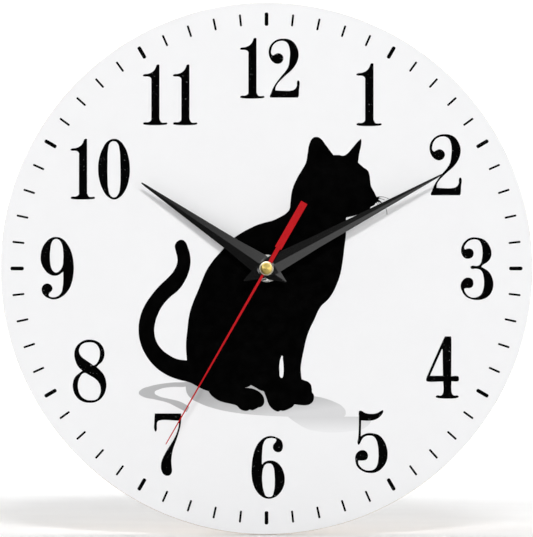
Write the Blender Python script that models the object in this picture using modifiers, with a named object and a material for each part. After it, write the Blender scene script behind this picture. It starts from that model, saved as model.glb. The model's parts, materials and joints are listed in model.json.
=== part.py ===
# Cat tail wall clock: a flat round printed board, three hands and a quartz movement behind it.
#
# The clock faces -Y, with +X to the viewer's right and +Z up. The origin lies on the hand shaft in
# the plane of the wall. Depths are counted forward from the wall, so a depth d lies at y = -d.
# Angles are clock angles: 0 points up and they grow towards +X, which is a turn about +Y.

import math

import bmesh
import bpy
from mathutils import Matrix, Vector

MM = 0.001
GAP = 0.3 * MM            # between pieces that rest on each other
FIT = 0.08 * MM           # between a pin or tube and the hole that it sits or turns in

# Dial
BOARD_RADIUS = 125 * MM
BOARD_SIDES = 128
PRINT_MARGIN = 0.15 * MM

# Hands: angle at rest, length from the shaft, tail behind it and the widest half width
HOUR_ANGLE = math.radians(304.4)
MINUTE_ANGLE = math.radians(61.8)
SECOND_ANGLE = math.radians(209.8)
HOUR_LENGTH = 71.0 * MM
HOUR_TAIL = 11.2 * MM
HOUR_HALF_WIDTH = 5.0 * MM
MINUTE_LENGTH = 93.4 * MM
MINUTE_TAIL = 12.1 * MM
MINUTE_HALF_WIDTH = 4.5 * MM
BLADE_THICKNESS = 0.35 * MM
BLADE_RIDGE = 0.6 * MM
SECOND_LENGTH = 94.8 * MM
SECOND_TAIL = 35.6 * MM
SECOND_PADDLE_START = 10.9 * MM
SECOND_PADDLE_HALF_WIDTH = 1.68 * MM
SECOND_NECK_HALF_WIDTH = 1.0 * MM
SECOND_ROOT_HALF_WIDTH = 0.62 * MM
SECOND_TIP_HALF_WIDTH = 0.22 * MM
SECOND_HUB_RADIUS = 2.4 * MM
CAP_RADIUS = 3.35 * MM

# Movement
CASE_SIDE = 56 * MM
CASE_CORNER = 3 * MM
CASE_WALL = 1.2 * MM
SECOND_ARBOR_RADIUS = 0.5 * MM
MINUTE_TUBE_RADIUS = 1.6 * MM
HOUR_TUBE_RADIUS = 2.5 * MM
BUSH_RADIUS = 4.0 * MM
BUSH_BORE = 2.75 * MM
NUT_ACROSS_FLATS = 11 * MM
PIVOT_RADIUS = 0.35 * MM
PIVOT_SIDES = 12

# Depths from the wall, back to front
COVER = (0.0, 1.2 * MM)
REAR_BRIDGE = (1.7 * MM, 2.7 * MM)
STATOR = (3.8 * MM, 4.8 * MM)
CORE = (5.1 * MM, 6.1 * MM)
MAGNET = (3.2 * MM, 5.4 * MM)
INTERMEDIATE_LAYER = (5.9 * MM, 6.7 * MM)
SECOND_LAYER = (7.1 * MM, 7.9 * MM)
THIRD_LAYER = (8.4 * MM, 9.2 * MM)
MID_PLATE = (9.6 * MM, 10.6 * MM)
CENTRE_LAYER = (11.1 * MM, 11.9 * MM)
MINUTE_LAYER = (12.3 * MM, 13.2 * MM)
HOUR_LAYER = (13.5 * MM, 14.4 * MM)
CASE_BACK = 1.5 * MM
CASE_FLOOR = 14.8 * MM
CASE_FRONT = 16.0 * MM
GASKET = (16.3 * MM, 17.0 * MM)
BOARD = (17.3 * MM, 21.3 * MM)
PRINT = (21.4 * MM, 21.7 * MM)
WASHER = (22.0 * MM, 22.4 * MM)
NUT = (22.6 * MM, 24.8 * MM)
BUSH_FRONT = 26.4 * MM
HOUR_HAND_DEPTH = 27.2 * MM
HOUR_TUBE_FRONT = 28.5 * MM
MINUTE_HAND_DEPTH = 29.6 * MM
MINUTE_TUBE_FRONT = 31.0 * MM
SECOND_HAND = (32.2 * MM, 32.6 * MM)
CAP_BACK = 31.5 * MM
CAP_FRONT = 34.8 * MM

# Gear train: teeth of each wheel and pinion, and the distances between their axes
ROTOR_TEETH = 10
INTERMEDIATE_TEETH = 60
INTERMEDIATE_PINION_TEETH = 12
SECOND_TEETH = 60
SECOND_PINION_TEETH = 8
THIRD_TEETH = 64
THIRD_PINION_TEETH = 8
CENTRE_TEETH = 60
CANNON_TEETH = 12
MINUTE_TEETH = 36
MINUTE_PINION_TEETH = 10
HOUR_TEETH = 40
KNOB_TEETH = 10
INTERMEDIATE_DISTANCE = 9.0 * MM
ROTOR_DISTANCE = 8.0 * MM
THIRD_DISTANCE = 9.5 * MM
MINUTE_DISTANCE = 8.5 * MM
ADDENDUM = 0.8            # in modules
DEDENDUM = 1.05
TOOTH_SHARE = 0.40        # tooth width on the pitch circle, as a share of the pitch

# Battery, an AA cell that lies across the bottom of the case
CELL_RADIUS = 7.1 * MM
CELL_HEIGHT = -19.0 * MM
CELL_DEPTH = 7.45 * MM
CELL_LEFT = -24.4 * MM
CELL_RIGHT = 24.6 * MM
CELL_NUB = 1.0 * MM
CELL_NUB_RADIUS = 2.7 * MM
BAY_WALL = (-11.2 * MM, -10.2 * MM)

# Pillars between the plates, and the neck that the centre wheel grips
PILLARS = [
    (-10.5 * MM, -6.5 * MM),
    (14.5 * MM, -7.0 * MM),
    (-10.0 * MM, 15.5 * MM),
    (13.0 * MM, 15.5 * MM),
]
NECK_RADIUS = 1.2 * MM

# Coil, above the rotor
COIL_HEIGHT = 23.2 * MM
COIL_DEPTH = 5.6 * MM
COIL_HALF_LENGTH = 12.9 * MM
COIL_FLANGE_RADIUS = 2.8 * MM

# Hanger loop, moulded on top of the case
HANGER_HALF_WIDTH = 9.0 * MM
HANGER_TOP = 39.5 * MM
HANGER = (1.5 * MM, 3.5 * MM)
SLOT_HALF_WIDTH = 4.5 * MM
SLOT_BOTTOM = 30.4 * MM
SLOT_TOP = 36.0 * MM


def polar(centre, distance, angle):
    """Point at a clock angle from a centre, in the plane of the dial."""
    return (centre[0] + distance * math.sin(angle), centre[1] + distance * math.cos(angle))


def gear_module(distance, teeth, other_teeth):
    return 2 * distance / (teeth + other_teeth)


CENTRE = (0.0, 0.0)
THIRD_AXIS = polar(CENTRE, THIRD_DISTANCE, math.radians(70))
MINUTE_AXIS = polar(CENTRE, MINUTE_DISTANCE, math.radians(300))
INTERMEDIATE_AXIS = polar(CENTRE, INTERMEDIATE_DISTANCE, math.radians(350))
ROTOR_AXIS = polar(INTERMEDIATE_AXIS, ROTOR_DISTANCE, math.radians(30))
MINUTE_MODULE = gear_module(MINUTE_DISTANCE, CANNON_TEETH, MINUTE_TEETH)
KNOB_DISTANCE = MINUTE_MODULE * (MINUTE_TEETH + KNOB_TEETH) / 2
KNOB_AXIS = polar(MINUTE_AXIS, KNOB_DISTANCE, math.radians(300))


# ---- scene and materials

def clear_scene():
    for item in list(bpy.data.objects):
        bpy.data.objects.remove(item, do_unlink=True)
    for group in list(bpy.data.collections):
        bpy.data.collections.remove(group)


def make_collection(name):
    group = bpy.data.collections.new(name)
    bpy.context.scene.collection.children.link(group)
    return group


def make_material(name, colour, roughness, metallic=0.0):
    material = bpy.data.materials.new(name)
    material.use_nodes = True
    shader = material.node_tree.nodes["Principled BSDF"]
    shader.inputs["Base Color"].default_value = (*colour, 1.0)
    shader.inputs["Roughness"].default_value = roughness
    shader.inputs["Metallic"].default_value = metallic
    return material


# ---- outlines in the plane of the dial

def ring(radius, sides, centre=CENTRE, phase=0.0):
    return [polar(centre, radius, phase + 2 * math.pi * k / sides) for k in range(sides)]


def rectangle(left, right, bottom, top):
    return [(left, bottom), (right, bottom), (right, top), (left, top)]


def rounded_rectangle(left, right, bottom, top, radius, steps=4):
    corners = [
        ((right - radius, top - radius), 0.0),
        ((right - radius, bottom + radius), 90.0),
        ((left + radius, bottom + radius), 180.0),
        ((left + radius, top - radius), 270.0),
    ]
    points = []
    for centre, start in corners:
        for k in range(steps + 1):
            points.append(polar(centre, radius, math.radians(start + 90.0 * k / steps)))
    return points


def gear_outline(teeth, module, centre, phase):
    """Straight-flanked teeth, one of them centred on the clock angle phase."""
    pitch_radius = teeth * module / 2
    root = pitch_radius - DEDENDUM * module
    tip = pitch_radius + ADDENDUM * module
    half = TOOTH_SHARE * math.pi / teeth
    root_half = 1.25 * half
    tip_half = 0.5 * half
    points = []
    for k in range(teeth):
        middle = phase + 2 * math.pi * k / teeth
        flank = ((root, -root_half), (tip, -tip_half), (tip, tip_half), (root, root_half))
        points += [polar(centre, radius, middle + turn) for radius, turn in flank]
    return points


def phase_in_mesh(centre, teeth, phase, other_centre, other_teeth):
    """Phase that puts a gap of the other gear where this gear has a tooth."""
    direction = math.atan2(other_centre[0] - centre[0], other_centre[1] - centre[1])
    share = (direction - phase) * teeth / (2 * math.pi)
    return direction + math.pi - (0.5 - share) * 2 * math.pi / other_teeth


# ---- solids

def to_mesh(item, weld=True):
    """Replace an object by a plain mesh of its evaluated shape, with any loose caps welded."""
    bpy.context.view_layer.update()
    depsgraph = bpy.context.evaluated_depsgraph_get()
    mesh = bpy.data.meshes.new_from_object(item.evaluated_get(depsgraph))
    mesh.transform(item.matrix_world)
    bpy.data.objects.remove(item, do_unlink=True)
    if weld:
        bm = bmesh.new()
        bm.from_mesh(mesh)
        bmesh.ops.remove_doubles(bm, verts=bm.verts, dist=1e-6)
        bm.to_mesh(mesh)
        bm.free()
    solid = bpy.data.objects.new("solid", mesh)
    bpy.context.scene.collection.objects.link(solid)
    return solid


def slab(outlines, depths):
    """Flat outlines, with any inner ones as holes, given a thickness between two depths."""
    back, front = depths
    curve = bpy.data.curves.new("outline", "CURVE")
    curve.dimensions = "2D"
    curve.fill_mode = "BOTH"
    curve.extrude = (front - back) / 2
    for outline in outlines:
        spline = curve.splines.new("POLY")
        spline.points.add(len(outline) - 1)
        for point, (x, z) in zip(spline.points, outline):
            point.co = (x, z, 0.0, 1.0)
        spline.use_cyclic_u = True
    item = bpy.data.objects.new("outline", curve)
    bpy.context.scene.collection.objects.link(item)
    item.rotation_euler = (math.pi / 2, 0.0, 0.0)
    item.location = (0.0, -(back + front) / 2, 0.0)
    return to_mesh(item)


def rod(radius, depths, centre=CENTRE, sides=16, front_radius=None):
    """Round bar along Y, or a cone where its front radius differs."""
    back, front = depths
    bm = bmesh.new()
    bmesh.ops.create_cone(
        bm, cap_ends=True, segments=sides, radius1=radius,
        radius2=radius if front_radius is None else front_radius, depth=front - back)
    bm.transform(Matrix.Rotation(math.pi / 2, 4, "X"))
    bm.transform(Matrix.Translation((centre[0], -(back + front) / 2, centre[1])))
    return from_bmesh(bm)


def box(x_range, z_range, depths):
    bm = bmesh.new()
    bmesh.ops.create_cube(bm, size=1.0)
    spans = (x_range[1] - x_range[0], depths[1] - depths[0], z_range[1] - z_range[0])
    middle = (sum(x_range) / 2, -sum(depths) / 2, sum(z_range) / 2)
    bm.transform(Matrix.Translation(middle) @ Matrix.Diagonal((*spans, 1.0)))
    return from_bmesh(bm)


def from_bmesh(bm):
    mesh = bpy.data.meshes.new("solid")
    bm.to_mesh(mesh)
    bm.free()
    solid = bpy.data.objects.new("solid", mesh)
    bpy.context.scene.collection.objects.link(solid)
    return solid


def turned(profile, sides, placing, closed=True):
    """Profile of (radius, height) points, down the outer side, turned about Z and then placed."""
    bm = bmesh.new()
    points = [bm.verts.new((radius, 0.0, height)) for radius, height in profile]
    for first, second in zip(points, points[1:]):
        bm.edges.new((first, second))
    if closed:
        bm.edges.new((points[-1], points[0]))
    item = from_bmesh(bm)
    screw = item.modifiers.new("turn", "SCREW")
    screw.steps = sides
    screw.render_steps = sides
    screw.use_merge_vertices = True
    screw.merge_threshold = 1e-6
    item.matrix_world = placing
    return to_mesh(item)


def along_depth():
    """Placing for a turned piece whose heights are depths from the wall."""
    return Matrix.Rotation(math.pi / 2, 4, "X")


def tube(inner, outer, depths, sides=32):
    back, front = depths
    profile = [(outer, front), (outer, back), (inner, back), (inner, front)]
    return turned(profile, sides, along_depth())


def combine(solid, operation, others):
    for other in others:
        boolean = solid.modifiers.new(operation.lower(), "BOOLEAN")
        boolean.operation = operation
        boolean.object = other
        solid = to_mesh(solid, weld=False)
        bpy.data.objects.remove(other, do_unlink=True)
    return solid


def union(solid, *others):
    return combine(solid, "UNION", others)


def cut(solid, *cutters):
    return combine(solid, "DIFFERENCE", cutters)


def finish(solid, name, material, pivot=CENTRE, angle=0.0):
    """Name a solid, put its origin on its axis and turn it to its angle at rest."""
    solid.name = name
    solid.data.name = name
    pivot_point = Vector((pivot[0], 0.0, pivot[1]))
    solid.data.transform(Matrix.Translation(-pivot_point))
    solid.location = pivot_point
    solid.rotation_euler = (0.0, angle, 0.0)
    solid.data.materials.clear()
    solid.data.materials.append(material)
    solid.data.shade_smooth()
    solid.data.set_sharp_from_angle(angle=math.radians(35))
    bpy.context.scene.collection.objects.unlink(solid)
    clock.objects.link(solid)
    return solid


# ---- dial and its fixings

def dial_board():
    solid = slab([ring(BOARD_RADIUS, BOARD_SIDES), ring(BUSH_RADIUS + GAP, 32)], BOARD)
    finish(solid, "dial_board", make_material("fibreboard", (0.60, 0.47, 0.33), 0.8))


def dial_print():
    solid = slab([ring(BOARD_RADIUS - PRINT_MARGIN, BOARD_SIDES), ring(BUSH_RADIUS + GAP, 32)], PRINT)
    finish(solid, "dial_print", make_material("printed laminate", (0.87, 0.87, 0.88), 0.45))


def dial_washer():
    solid = tube(BUSH_RADIUS + 2 * FIT, 6.5 * MM, WASHER)
    finish(solid, "dial_washer", make_material("nickelled washer", (0.72, 0.72, 0.70), 0.3, 1.0))


def fixing_nut():
    corner_radius = NUT_ACROSS_FLATS / 2 / math.cos(math.pi / 6)
    hexagon = slab([ring(corner_radius, 6, phase=math.radians(30))], NUT)
    bore = rod(BUSH_RADIUS + FIT, (NUT[0] - GAP, NUT[1] + GAP), sides=32)
    solid = cut(hexagon, bore)
    finish(solid, "fixing_nut", make_material("nickelled nut", (0.74, 0.74, 0.73), 0.25, 1.0))


def rubber_gasket():
    solid = tube(6.4 * MM, 14 * MM, GASKET)
    finish(solid, "rubber_gasket", make_material("black rubber", (0.02, 0.02, 0.02), 0.9))


def threaded_bush():
    shoulder_radius = 6.0 * MM
    shoulder_back = CASE_FRONT + 0.2 * MM
    shoulder_front = BOARD[0] - 0.2 * MM
    profile = [
        (BUSH_RADIUS - 0.4 * MM, BUSH_FRONT),
        (BUSH_RADIUS, BUSH_FRONT - 0.4 * MM),
        (BUSH_RADIUS, shoulder_front),
        (shoulder_radius, shoulder_front),
        (shoulder_radius, shoulder_back),
        (BUSH_RADIUS, shoulder_back),
        (BUSH_RADIUS, CASE_FLOOR),
        (BUSH_BORE, CASE_FLOOR),
        (BUSH_BORE, BUSH_FRONT),
    ]
    solid = turned(profile, 32, along_depth())
    finish(solid, "threaded_bush", make_material("turned brass bush", (0.78, 0.60, 0.28), 0.3, 1.0))


# ---- hands

def faceted_blade(stations, depth):
    """Blade with a ridge down its middle: one open half, mirrored and given its thickness."""
    bm = bmesh.new()
    bmesh.ops.create_grid(bm, x_segments=1, y_segments=len(stations) - 1, size=1.0)
    rows = sorted({round(vertex.co.y, 6) for vertex in bm.verts})
    for vertex in bm.verts:
        along, half_width, ridge = stations[rows.index(round(vertex.co.y, 6))]
        on_edge = vertex.co.x > 0
        height = 0.0 if on_edge else ridge
        vertex.co = (half_width if on_edge else 0.0, -(depth + BLADE_THICKNESS + height), along)
    blade = from_bmesh(bm)
    mirror = blade.modifiers.new("mirror", "MIRROR")
    mirror.merge_threshold = 1e-5
    thicken = blade.modifiers.new("thicken", "SOLIDIFY")
    thicken.thickness = BLADE_THICKNESS
    thicken.offset = -1.0
    return to_mesh(blade)


def kite_stations(length, tail, half_width):
    """Long point, shoulders beside the hub and a short pointed tail, as (along, half width, ridge).

    The ridge stays in proportion to the width, which keeps each facet flat.
    """
    shoulder = 4.0 * MM
    waist = 0.28 * length
    outline = [
        (-tail, 0.07),
        (-0.35 * tail, 0.72),
        (shoulder, 1.0),
        (waist, 0.68),
        (0.97 * length, 0.11),
        (length, 0.06),
    ]
    return [(along, share * half_width, share * BLADE_RIDGE) for along, share in outline]


def hour_hand(material):
    blade = faceted_blade(kite_stations(HOUR_LENGTH, HOUR_TAIL, HOUR_HALF_WIDTH), HOUR_HAND_DEPTH)
    bore = rod(HOUR_TUBE_RADIUS + FIT, (HOUR_HAND_DEPTH - 1 * MM, HOUR_HAND_DEPTH + 3 * MM), sides=32)
    finish(cut(blade, bore), "hour_hand", material, angle=HOUR_ANGLE)


def minute_hand(material):
    blade = faceted_blade(
        kite_stations(MINUTE_LENGTH, MINUTE_TAIL, MINUTE_HALF_WIDTH), MINUTE_HAND_DEPTH)
    bore = rod(
        MINUTE_TUBE_RADIUS + FIT, (MINUTE_HAND_DEPTH - 1 * MM, MINUTE_HAND_DEPTH + 3 * MM), sides=32)
    finish(cut(blade, bore), "minute_hand", material, angle=MINUTE_ANGLE)


def second_hand():
    """Thin tapered needle with a hub disc and a long square-ended counterweight."""
    hub_join = 1.5 * MM
    right_side = [
        (SECOND_TIP_HALF_WIDTH, SECOND_LENGTH),
        (SECOND_ROOT_HALF_WIDTH, hub_join),
        (SECOND_NECK_HALF_WIDTH, -hub_join),
        (SECOND_NECK_HALF_WIDTH, -SECOND_PADDLE_START),
        (SECOND_PADDLE_HALF_WIDTH, -SECOND_PADDLE_START),
        (SECOND_PADDLE_HALF_WIDTH, -SECOND_TAIL),
    ]
    left_side = [(-x, z) for x, z in reversed(right_side)]
    blade = slab([right_side + left_side], SECOND_HAND)
    hub_rise = 0.1 * MM
    hub = rod(SECOND_HUB_RADIUS, (SECOND_HAND[0] - hub_rise, SECOND_HAND[1] + hub_rise), sides=24)
    bore = rod(1.0 * MM + FIT, (SECOND_HAND[0] - GAP, SECOND_HAND[1] + GAP), sides=24)
    solid = cut(union(blade, hub), bore)
    finish(solid, "second_hand", make_material("red paint", (0.58, 0.01, 0.015), 0.35),
           angle=SECOND_ANGLE)


def second_hand_cap():
    """Flat-faced brass cap with a bevelled rim and a small tube that grips the seconds arbor."""
    tube_radius = 1.0 * MM
    bore_radius = SECOND_ARBOR_RADIUS + FIT
    rim_back = SECOND_HAND[1] + 0.2 * MM
    rim_front = rim_back + 0.7 * MM
    bevel = 0.6 * MM
    crown = 0.15 * MM
    profile = [
        (0.0, CAP_FRONT),
        (CAP_RADIUS - bevel, CAP_FRONT - crown),
        (CAP_RADIUS, CAP_FRONT - crown - bevel),
        (CAP_RADIUS, rim_back),
        (tube_radius, rim_back),
        (tube_radius, CAP_BACK),
        (bore_radius, CAP_BACK),
        (bore_radius, rim_front),
        (0.0, rim_front),
    ]
    solid = turned(profile, 40, along_depth(), closed=False)
    finish(solid, "second_hand_cap", make_material("polished brass", (0.80, 0.62, 0.25), 0.2, 1.0),
           angle=SECOND_ANGLE)


# ---- movement housing

def movement_case():
    """Square cup that is open to the wall, with the battery bay, posts and hanger loop."""
    half = CASE_SIDE / 2
    inner = half - CASE_WALL
    outside = rounded_rectangle(-half, half, -half, half, CASE_CORNER)
    inside = rounded_rectangle(-inner, inner, -inner, inner, CASE_CORNER - CASE_WALL)
    shell = cut(slab([outside], (CASE_BACK, CASE_FRONT)), slab([inside], (0.0, CASE_FLOOR)))
    root = CASE_FLOOR + 0.5 * MM
    bay_wall = box((-24.8 * MM, 24.8 * MM), BAY_WALL, (CASE_BACK, root))
    plate_posts = [
        rod(1.5 * MM, (MID_PLATE[1] + 0.1 * MM, root), (x, z), 12)
        for x in (-18 * MM, 18 * MM) for z in (-7 * MM, 17.5 * MM)
    ]
    wheel_post = rod(0.9 * MM, (MINUTE_LAYER[0] - 0.2 * MM, root), MINUTE_AXIS, 16)
    loop_outline = rounded_rectangle(
        -HANGER_HALF_WIDTH, HANGER_HALF_WIDTH, half - 0.6 * MM, HANGER_TOP, 0.5 * MM, 1)
    loop_outline = [
        (x * (0.72 if z > SLOT_TOP else 1.0), z) for x, z in loop_outline
    ]
    loop = slab([loop_outline], HANGER)
    shell = union(shell, bay_wall, *plate_posts, wheel_post, loop)
    slot_steps = 6
    slot_shoulder = SLOT_TOP - 2.2 * MM
    slot = [(-SLOT_HALF_WIDTH, SLOT_BOTTOM), (SLOT_HALF_WIDTH, SLOT_BOTTOM)]
    for k in range(slot_steps + 1):
        turn = math.pi * k / slot_steps
        slot.append((SLOT_HALF_WIDTH * math.cos(turn),
                     slot_shoulder + (SLOT_TOP - slot_shoulder) * math.sin(turn)))
    slot_cutter = slab([slot], (HANGER[0] - 1 * MM, HANGER[1] + 1 * MM))
    bush_hole = rod(BUSH_RADIUS + FIT, (CASE_FLOOR - 1 * MM, CASE_FRONT + 1 * MM), sides=32)
    pivot_holes = [
        rod(PIVOT_RADIUS + FIT, (CASE_FLOOR - 0.5 * MM, CASE_FLOOR + 0.8 * MM), axis, PIVOT_SIDES)
        for axis in (THIRD_AXIS, KNOB_AXIS)
    ]
    shell = cut(shell, slot_cutter, bush_hole, *pivot_holes)
    finish(shell, "movement_case", make_material("black case plastic", (0.025, 0.025, 0.027), 0.5))


def back_cover():
    """Flat lid with the battery opening, the knob hole and four snap hooks."""
    half = CASE_SIDE / 2
    lid = slab([
        rounded_rectangle(-half, half, -half, half, CASE_CORNER),
        rectangle(-25.4 * MM, 26.0 * MM, -26.4 * MM, -11.6 * MM),
        ring(6.0 * MM, 32, KNOB_AXIS),
    ], COVER)
    hook_depths = (COVER[1] - 0.3 * MM, 5.0 * MM)
    top_hooks = [
        box((x - 1.5 * MM, x + 1.5 * MM), (25.5 * MM, 26.4 * MM), hook_depths)
        for x in (-20 * MM, 20 * MM)
    ]
    side_hooks = [
        box((x - 0.45 * MM, x + 0.45 * MM), (3 * MM, 6 * MM), hook_depths)
        for x in (-26.0 * MM, 26.0 * MM)
    ]
    lid = union(lid, *top_hooks, *side_hooks)
    finish(lid, "back_cover", make_material("black cover plastic", (0.03, 0.03, 0.032), 0.45))


def mid_plate():
    """Plate between the motion work and the going train, with pillars that carry the bridge."""
    holes = [
        ring(SECOND_ARBOR_RADIUS + FIT, PIVOT_SIDES),
        ring(1.75 * MM, 16, THIRD_AXIS),
        ring(PIVOT_RADIUS + FIT, PIVOT_SIDES, INTERMEDIATE_AXIS),
        ring(PIVOT_RADIUS + FIT, PIVOT_SIDES, ROTOR_AXIS),
        ring(1.7 * MM, 16, KNOB_AXIS),
    ]
    outline = rounded_rectangle(-20 * MM, 20 * MM, -9.2 * MM, 19.6 * MM, 1.5 * MM, 2)
    plate = slab([outline] + holes, MID_PLATE)
    pillars = [
        rod(1.1 * MM, (REAR_BRIDGE[1] + 0.1 * MM, MID_PLATE[0] + 0.4 * MM), place, 12)
        for place in PILLARS
    ]
    finish(union(plate, *pillars), "mid_plate", make_material("white acetal", (0.80, 0.80, 0.77), 0.45))


def rear_bridge():
    """Rear bearing plate of the going train."""
    outline = rounded_rectangle(-12.4 * MM, 17 * MM, -9 * MM, 18 * MM, 1.5 * MM, 2)
    holes = [ring(PIVOT_RADIUS + FIT, PIVOT_SIDES, axis)
             for axis in (CENTRE, THIRD_AXIS, INTERMEDIATE_AXIS, ROTOR_AXIS)]
    solid = slab([outline] + holes, REAR_BRIDGE)
    finish(solid, "rear_bridge", make_material("natural acetal", (0.74, 0.73, 0.68), 0.45))


# ---- stepping motor and electronics

def stator():
    """U of soft iron: a bar around the rotor with an arm up to each end of the coil core."""
    bar_bottom = 10.9 * MM
    bar_top = 20.0 * MM
    arm_inner = 13.2 * MM
    arm_outer = 16.0 * MM
    arm_top = 24.6 * MM
    outline = [
        (-arm_outer, bar_bottom), (arm_outer, bar_bottom), (arm_outer, arm_top),
        (arm_inner, arm_top), (arm_inner, bar_top), (-arm_inner, bar_top),
        (-arm_inner, arm_top), (-arm_outer, arm_top),
    ]
    holes = [ring(3.65 * MM, 32, ROTOR_AXIS)]
    holes += [ring(1.1 * MM + GAP, 16, place) for place in PILLARS[2:]]
    solid = slab([outline] + holes, STATOR)
    finish(solid, "stator", make_material("soft iron stator", (0.50, 0.50, 0.50), 0.4, 1.0))


def coil_core():
    solid = box((-16 * MM, 16 * MM), (COIL_HEIGHT - 0.9 * MM, COIL_HEIGHT + 0.9 * MM), CORE)
    finish(solid, "coil_core", make_material("soft iron core", (0.46, 0.46, 0.46), 0.45, 1.0))


def along_coil():
    """Placing for a turned piece whose heights run along the coil."""
    return (Matrix.Translation((0.0, -COIL_DEPTH, COIL_HEIGHT))
            @ Matrix.Rotation(math.pi / 2, 4, "Y"))


def coil_bobbin():
    barrel = 1.55 * MM
    bore = 1.2 * MM
    flange_width = 1.0 * MM
    end = COIL_HALF_LENGTH
    inside = end - flange_width
    profile = [
        (COIL_FLANGE_RADIUS, end), (COIL_FLANGE_RADIUS, inside), (barrel, inside),
        (barrel, -inside), (COIL_FLANGE_RADIUS, -inside), (COIL_FLANGE_RADIUS, -end),
        (bore, -end), (bore, end),
    ]
    solid = turned(profile, 24, along_coil())
    finish(solid, "coil_bobbin", make_material("bobbin nylon", (0.75, 0.75, 0.70), 0.5))


def coil_winding():
    inside = COIL_HALF_LENGTH - 1.2 * MM
    profile = [(2.5 * MM, inside), (2.5 * MM, -inside), (1.65 * MM, -inside), (1.65 * MM, inside)]
    solid = turned(profile, 24, along_coil())
    finish(solid, "coil_winding", make_material("enamelled copper", (0.62, 0.25, 0.10), 0.35, 1.0))


def circuit_board():
    solid = slab([rounded_rectangle(18.4 * MM, 25.2 * MM, -9.1 * MM, 19 * MM, 0.5 * MM, 1)],
                 (5.5 * MM, 6.3 * MM))
    finish(solid, "circuit_board", make_material("circuit board laminate", (0.35, 0.20, 0.07), 0.5))


def quartz_crystal():
    can = rod(1.0 * MM, (0.0, 6.0 * MM), sides=16)
    can.matrix_world = (Matrix.Translation((20.3 * MM, -4.2 * MM, 12.0 * MM))
                        @ Matrix.Rotation(math.pi / 2, 4, "X"))
    finish(to_mesh(can), "quartz_crystal", make_material("crystal can", (0.70, 0.70, 0.72), 0.25, 1.0))


def chip_cover():
    solid = rod(1.4 * MM, (4.5 * MM, 5.3 * MM), (21.8 * MM, 4.0 * MM), 20, front_radius=2.3 * MM)
    finish(solid, "chip_cover", make_material("black epoxy", (0.015, 0.015, 0.015), 0.3))


def positive_contact():
    solid = box((25.9 * MM, 26.3 * MM), (-24 * MM, -2 * MM), (5.0 * MM, 9.0 * MM))
    finish(solid, "positive_contact", make_material("contact steel", (0.72, 0.72, 0.72), 0.25, 1.0))


def negative_contact():
    """Contact strip with the raised cup for the cell, and a runner above the bay to the board."""
    strip = box((-26.3 * MM, -25.9 * MM), (-24 * MM, -9.5 * MM), (5.0 * MM, 9.0 * MM))
    runner = box((-26.3 * MM, 20 * MM), (-9.9 * MM, -9.5 * MM), (5.5 * MM, 8.5 * MM))
    cup = rod(3.2 * MM, (0.0, 1.3 * MM), sides=16, front_radius=1.8 * MM)
    cup.matrix_world = (Matrix.Translation((-26.0 * MM, -CELL_DEPTH, CELL_HEIGHT))
                        @ Matrix.Rotation(math.pi / 2, 4, "Z"))
    solid = union(strip, runner, to_mesh(cup))
    finish(solid, "negative_contact", make_material("spring steel", (0.70, 0.70, 0.70), 0.28, 1.0))


def battery_cell():
    profile = [
        (0.0, CELL_RIGHT + CELL_NUB), (CELL_NUB_RADIUS, CELL_RIGHT + CELL_NUB),
        (CELL_NUB_RADIUS, CELL_RIGHT), (CELL_RADIUS - 0.5 * MM, CELL_RIGHT),
        (CELL_RADIUS, CELL_RIGHT - 0.5 * MM), (CELL_RADIUS, CELL_LEFT + 0.5 * MM),
        (CELL_RADIUS - 0.5 * MM, CELL_LEFT), (0.0, CELL_LEFT),
    ]
    placing = (Matrix.Translation((0.0, -CELL_DEPTH, CELL_HEIGHT))
               @ Matrix.Rotation(math.pi / 2, 4, "Y"))
    solid = turned(profile, 40, placing, closed=False)
    finish(solid, "battery_cell", make_material("battery sleeve", (0.10, 0.22, 0.12), 0.35),
           pivot=(0.0, CELL_HEIGHT))


# ---- gear train

def gear(teeth, module, centre, phase, depths):
    return slab([gear_outline(teeth, module, centre, phase)], depths)


def arbor(centre, radius, depths, pivot_depths):
    """Arbor with a thinner pivot at each end."""
    body = rod(radius, depths, centre, 12)
    pivots = rod(PIVOT_RADIUS, pivot_depths, centre, PIVOT_SIDES)
    return union(body, pivots)


def rotor(phase):
    """Magnet ring and the pinion that it is moulded on."""
    hub_radius = 1.2 * MM
    magnet = slab([ring(3.1 * MM, 32, ROTOR_AXIS), ring(hub_radius + FIT, 16, ROTOR_AXIS)], MAGNET)
    finish(magnet, "rotor_magnet", make_material("ferrite magnet", (0.08, 0.08, 0.085), 0.4, 0.3),
           pivot=ROTOR_AXIS)
    module = gear_module(ROTOR_DISTANCE, ROTOR_TEETH, INTERMEDIATE_TEETH)
    leaves = gear(ROTOR_TEETH, module, ROTOR_AXIS, phase, INTERMEDIATE_LAYER)
    hub = rod(hub_radius, (MAGNET[0] - 0.1 * MM, MAGNET[1] + 0.1 * MM), ROTOR_AXIS, 16)
    shaft = arbor(ROTOR_AXIS, 0.6 * MM, (MAGNET[0], MID_PLATE[0] - 0.2 * MM),
                  (REAR_BRIDGE[0] + 0.1 * MM, MID_PLATE[1] - 0.1 * MM))
    finish(union(leaves, hub, shaft), "rotor_pinion",
           make_material("rotor plastic", (0.75, 0.72, 0.60), 0.4), pivot=ROTOR_AXIS)


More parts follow.
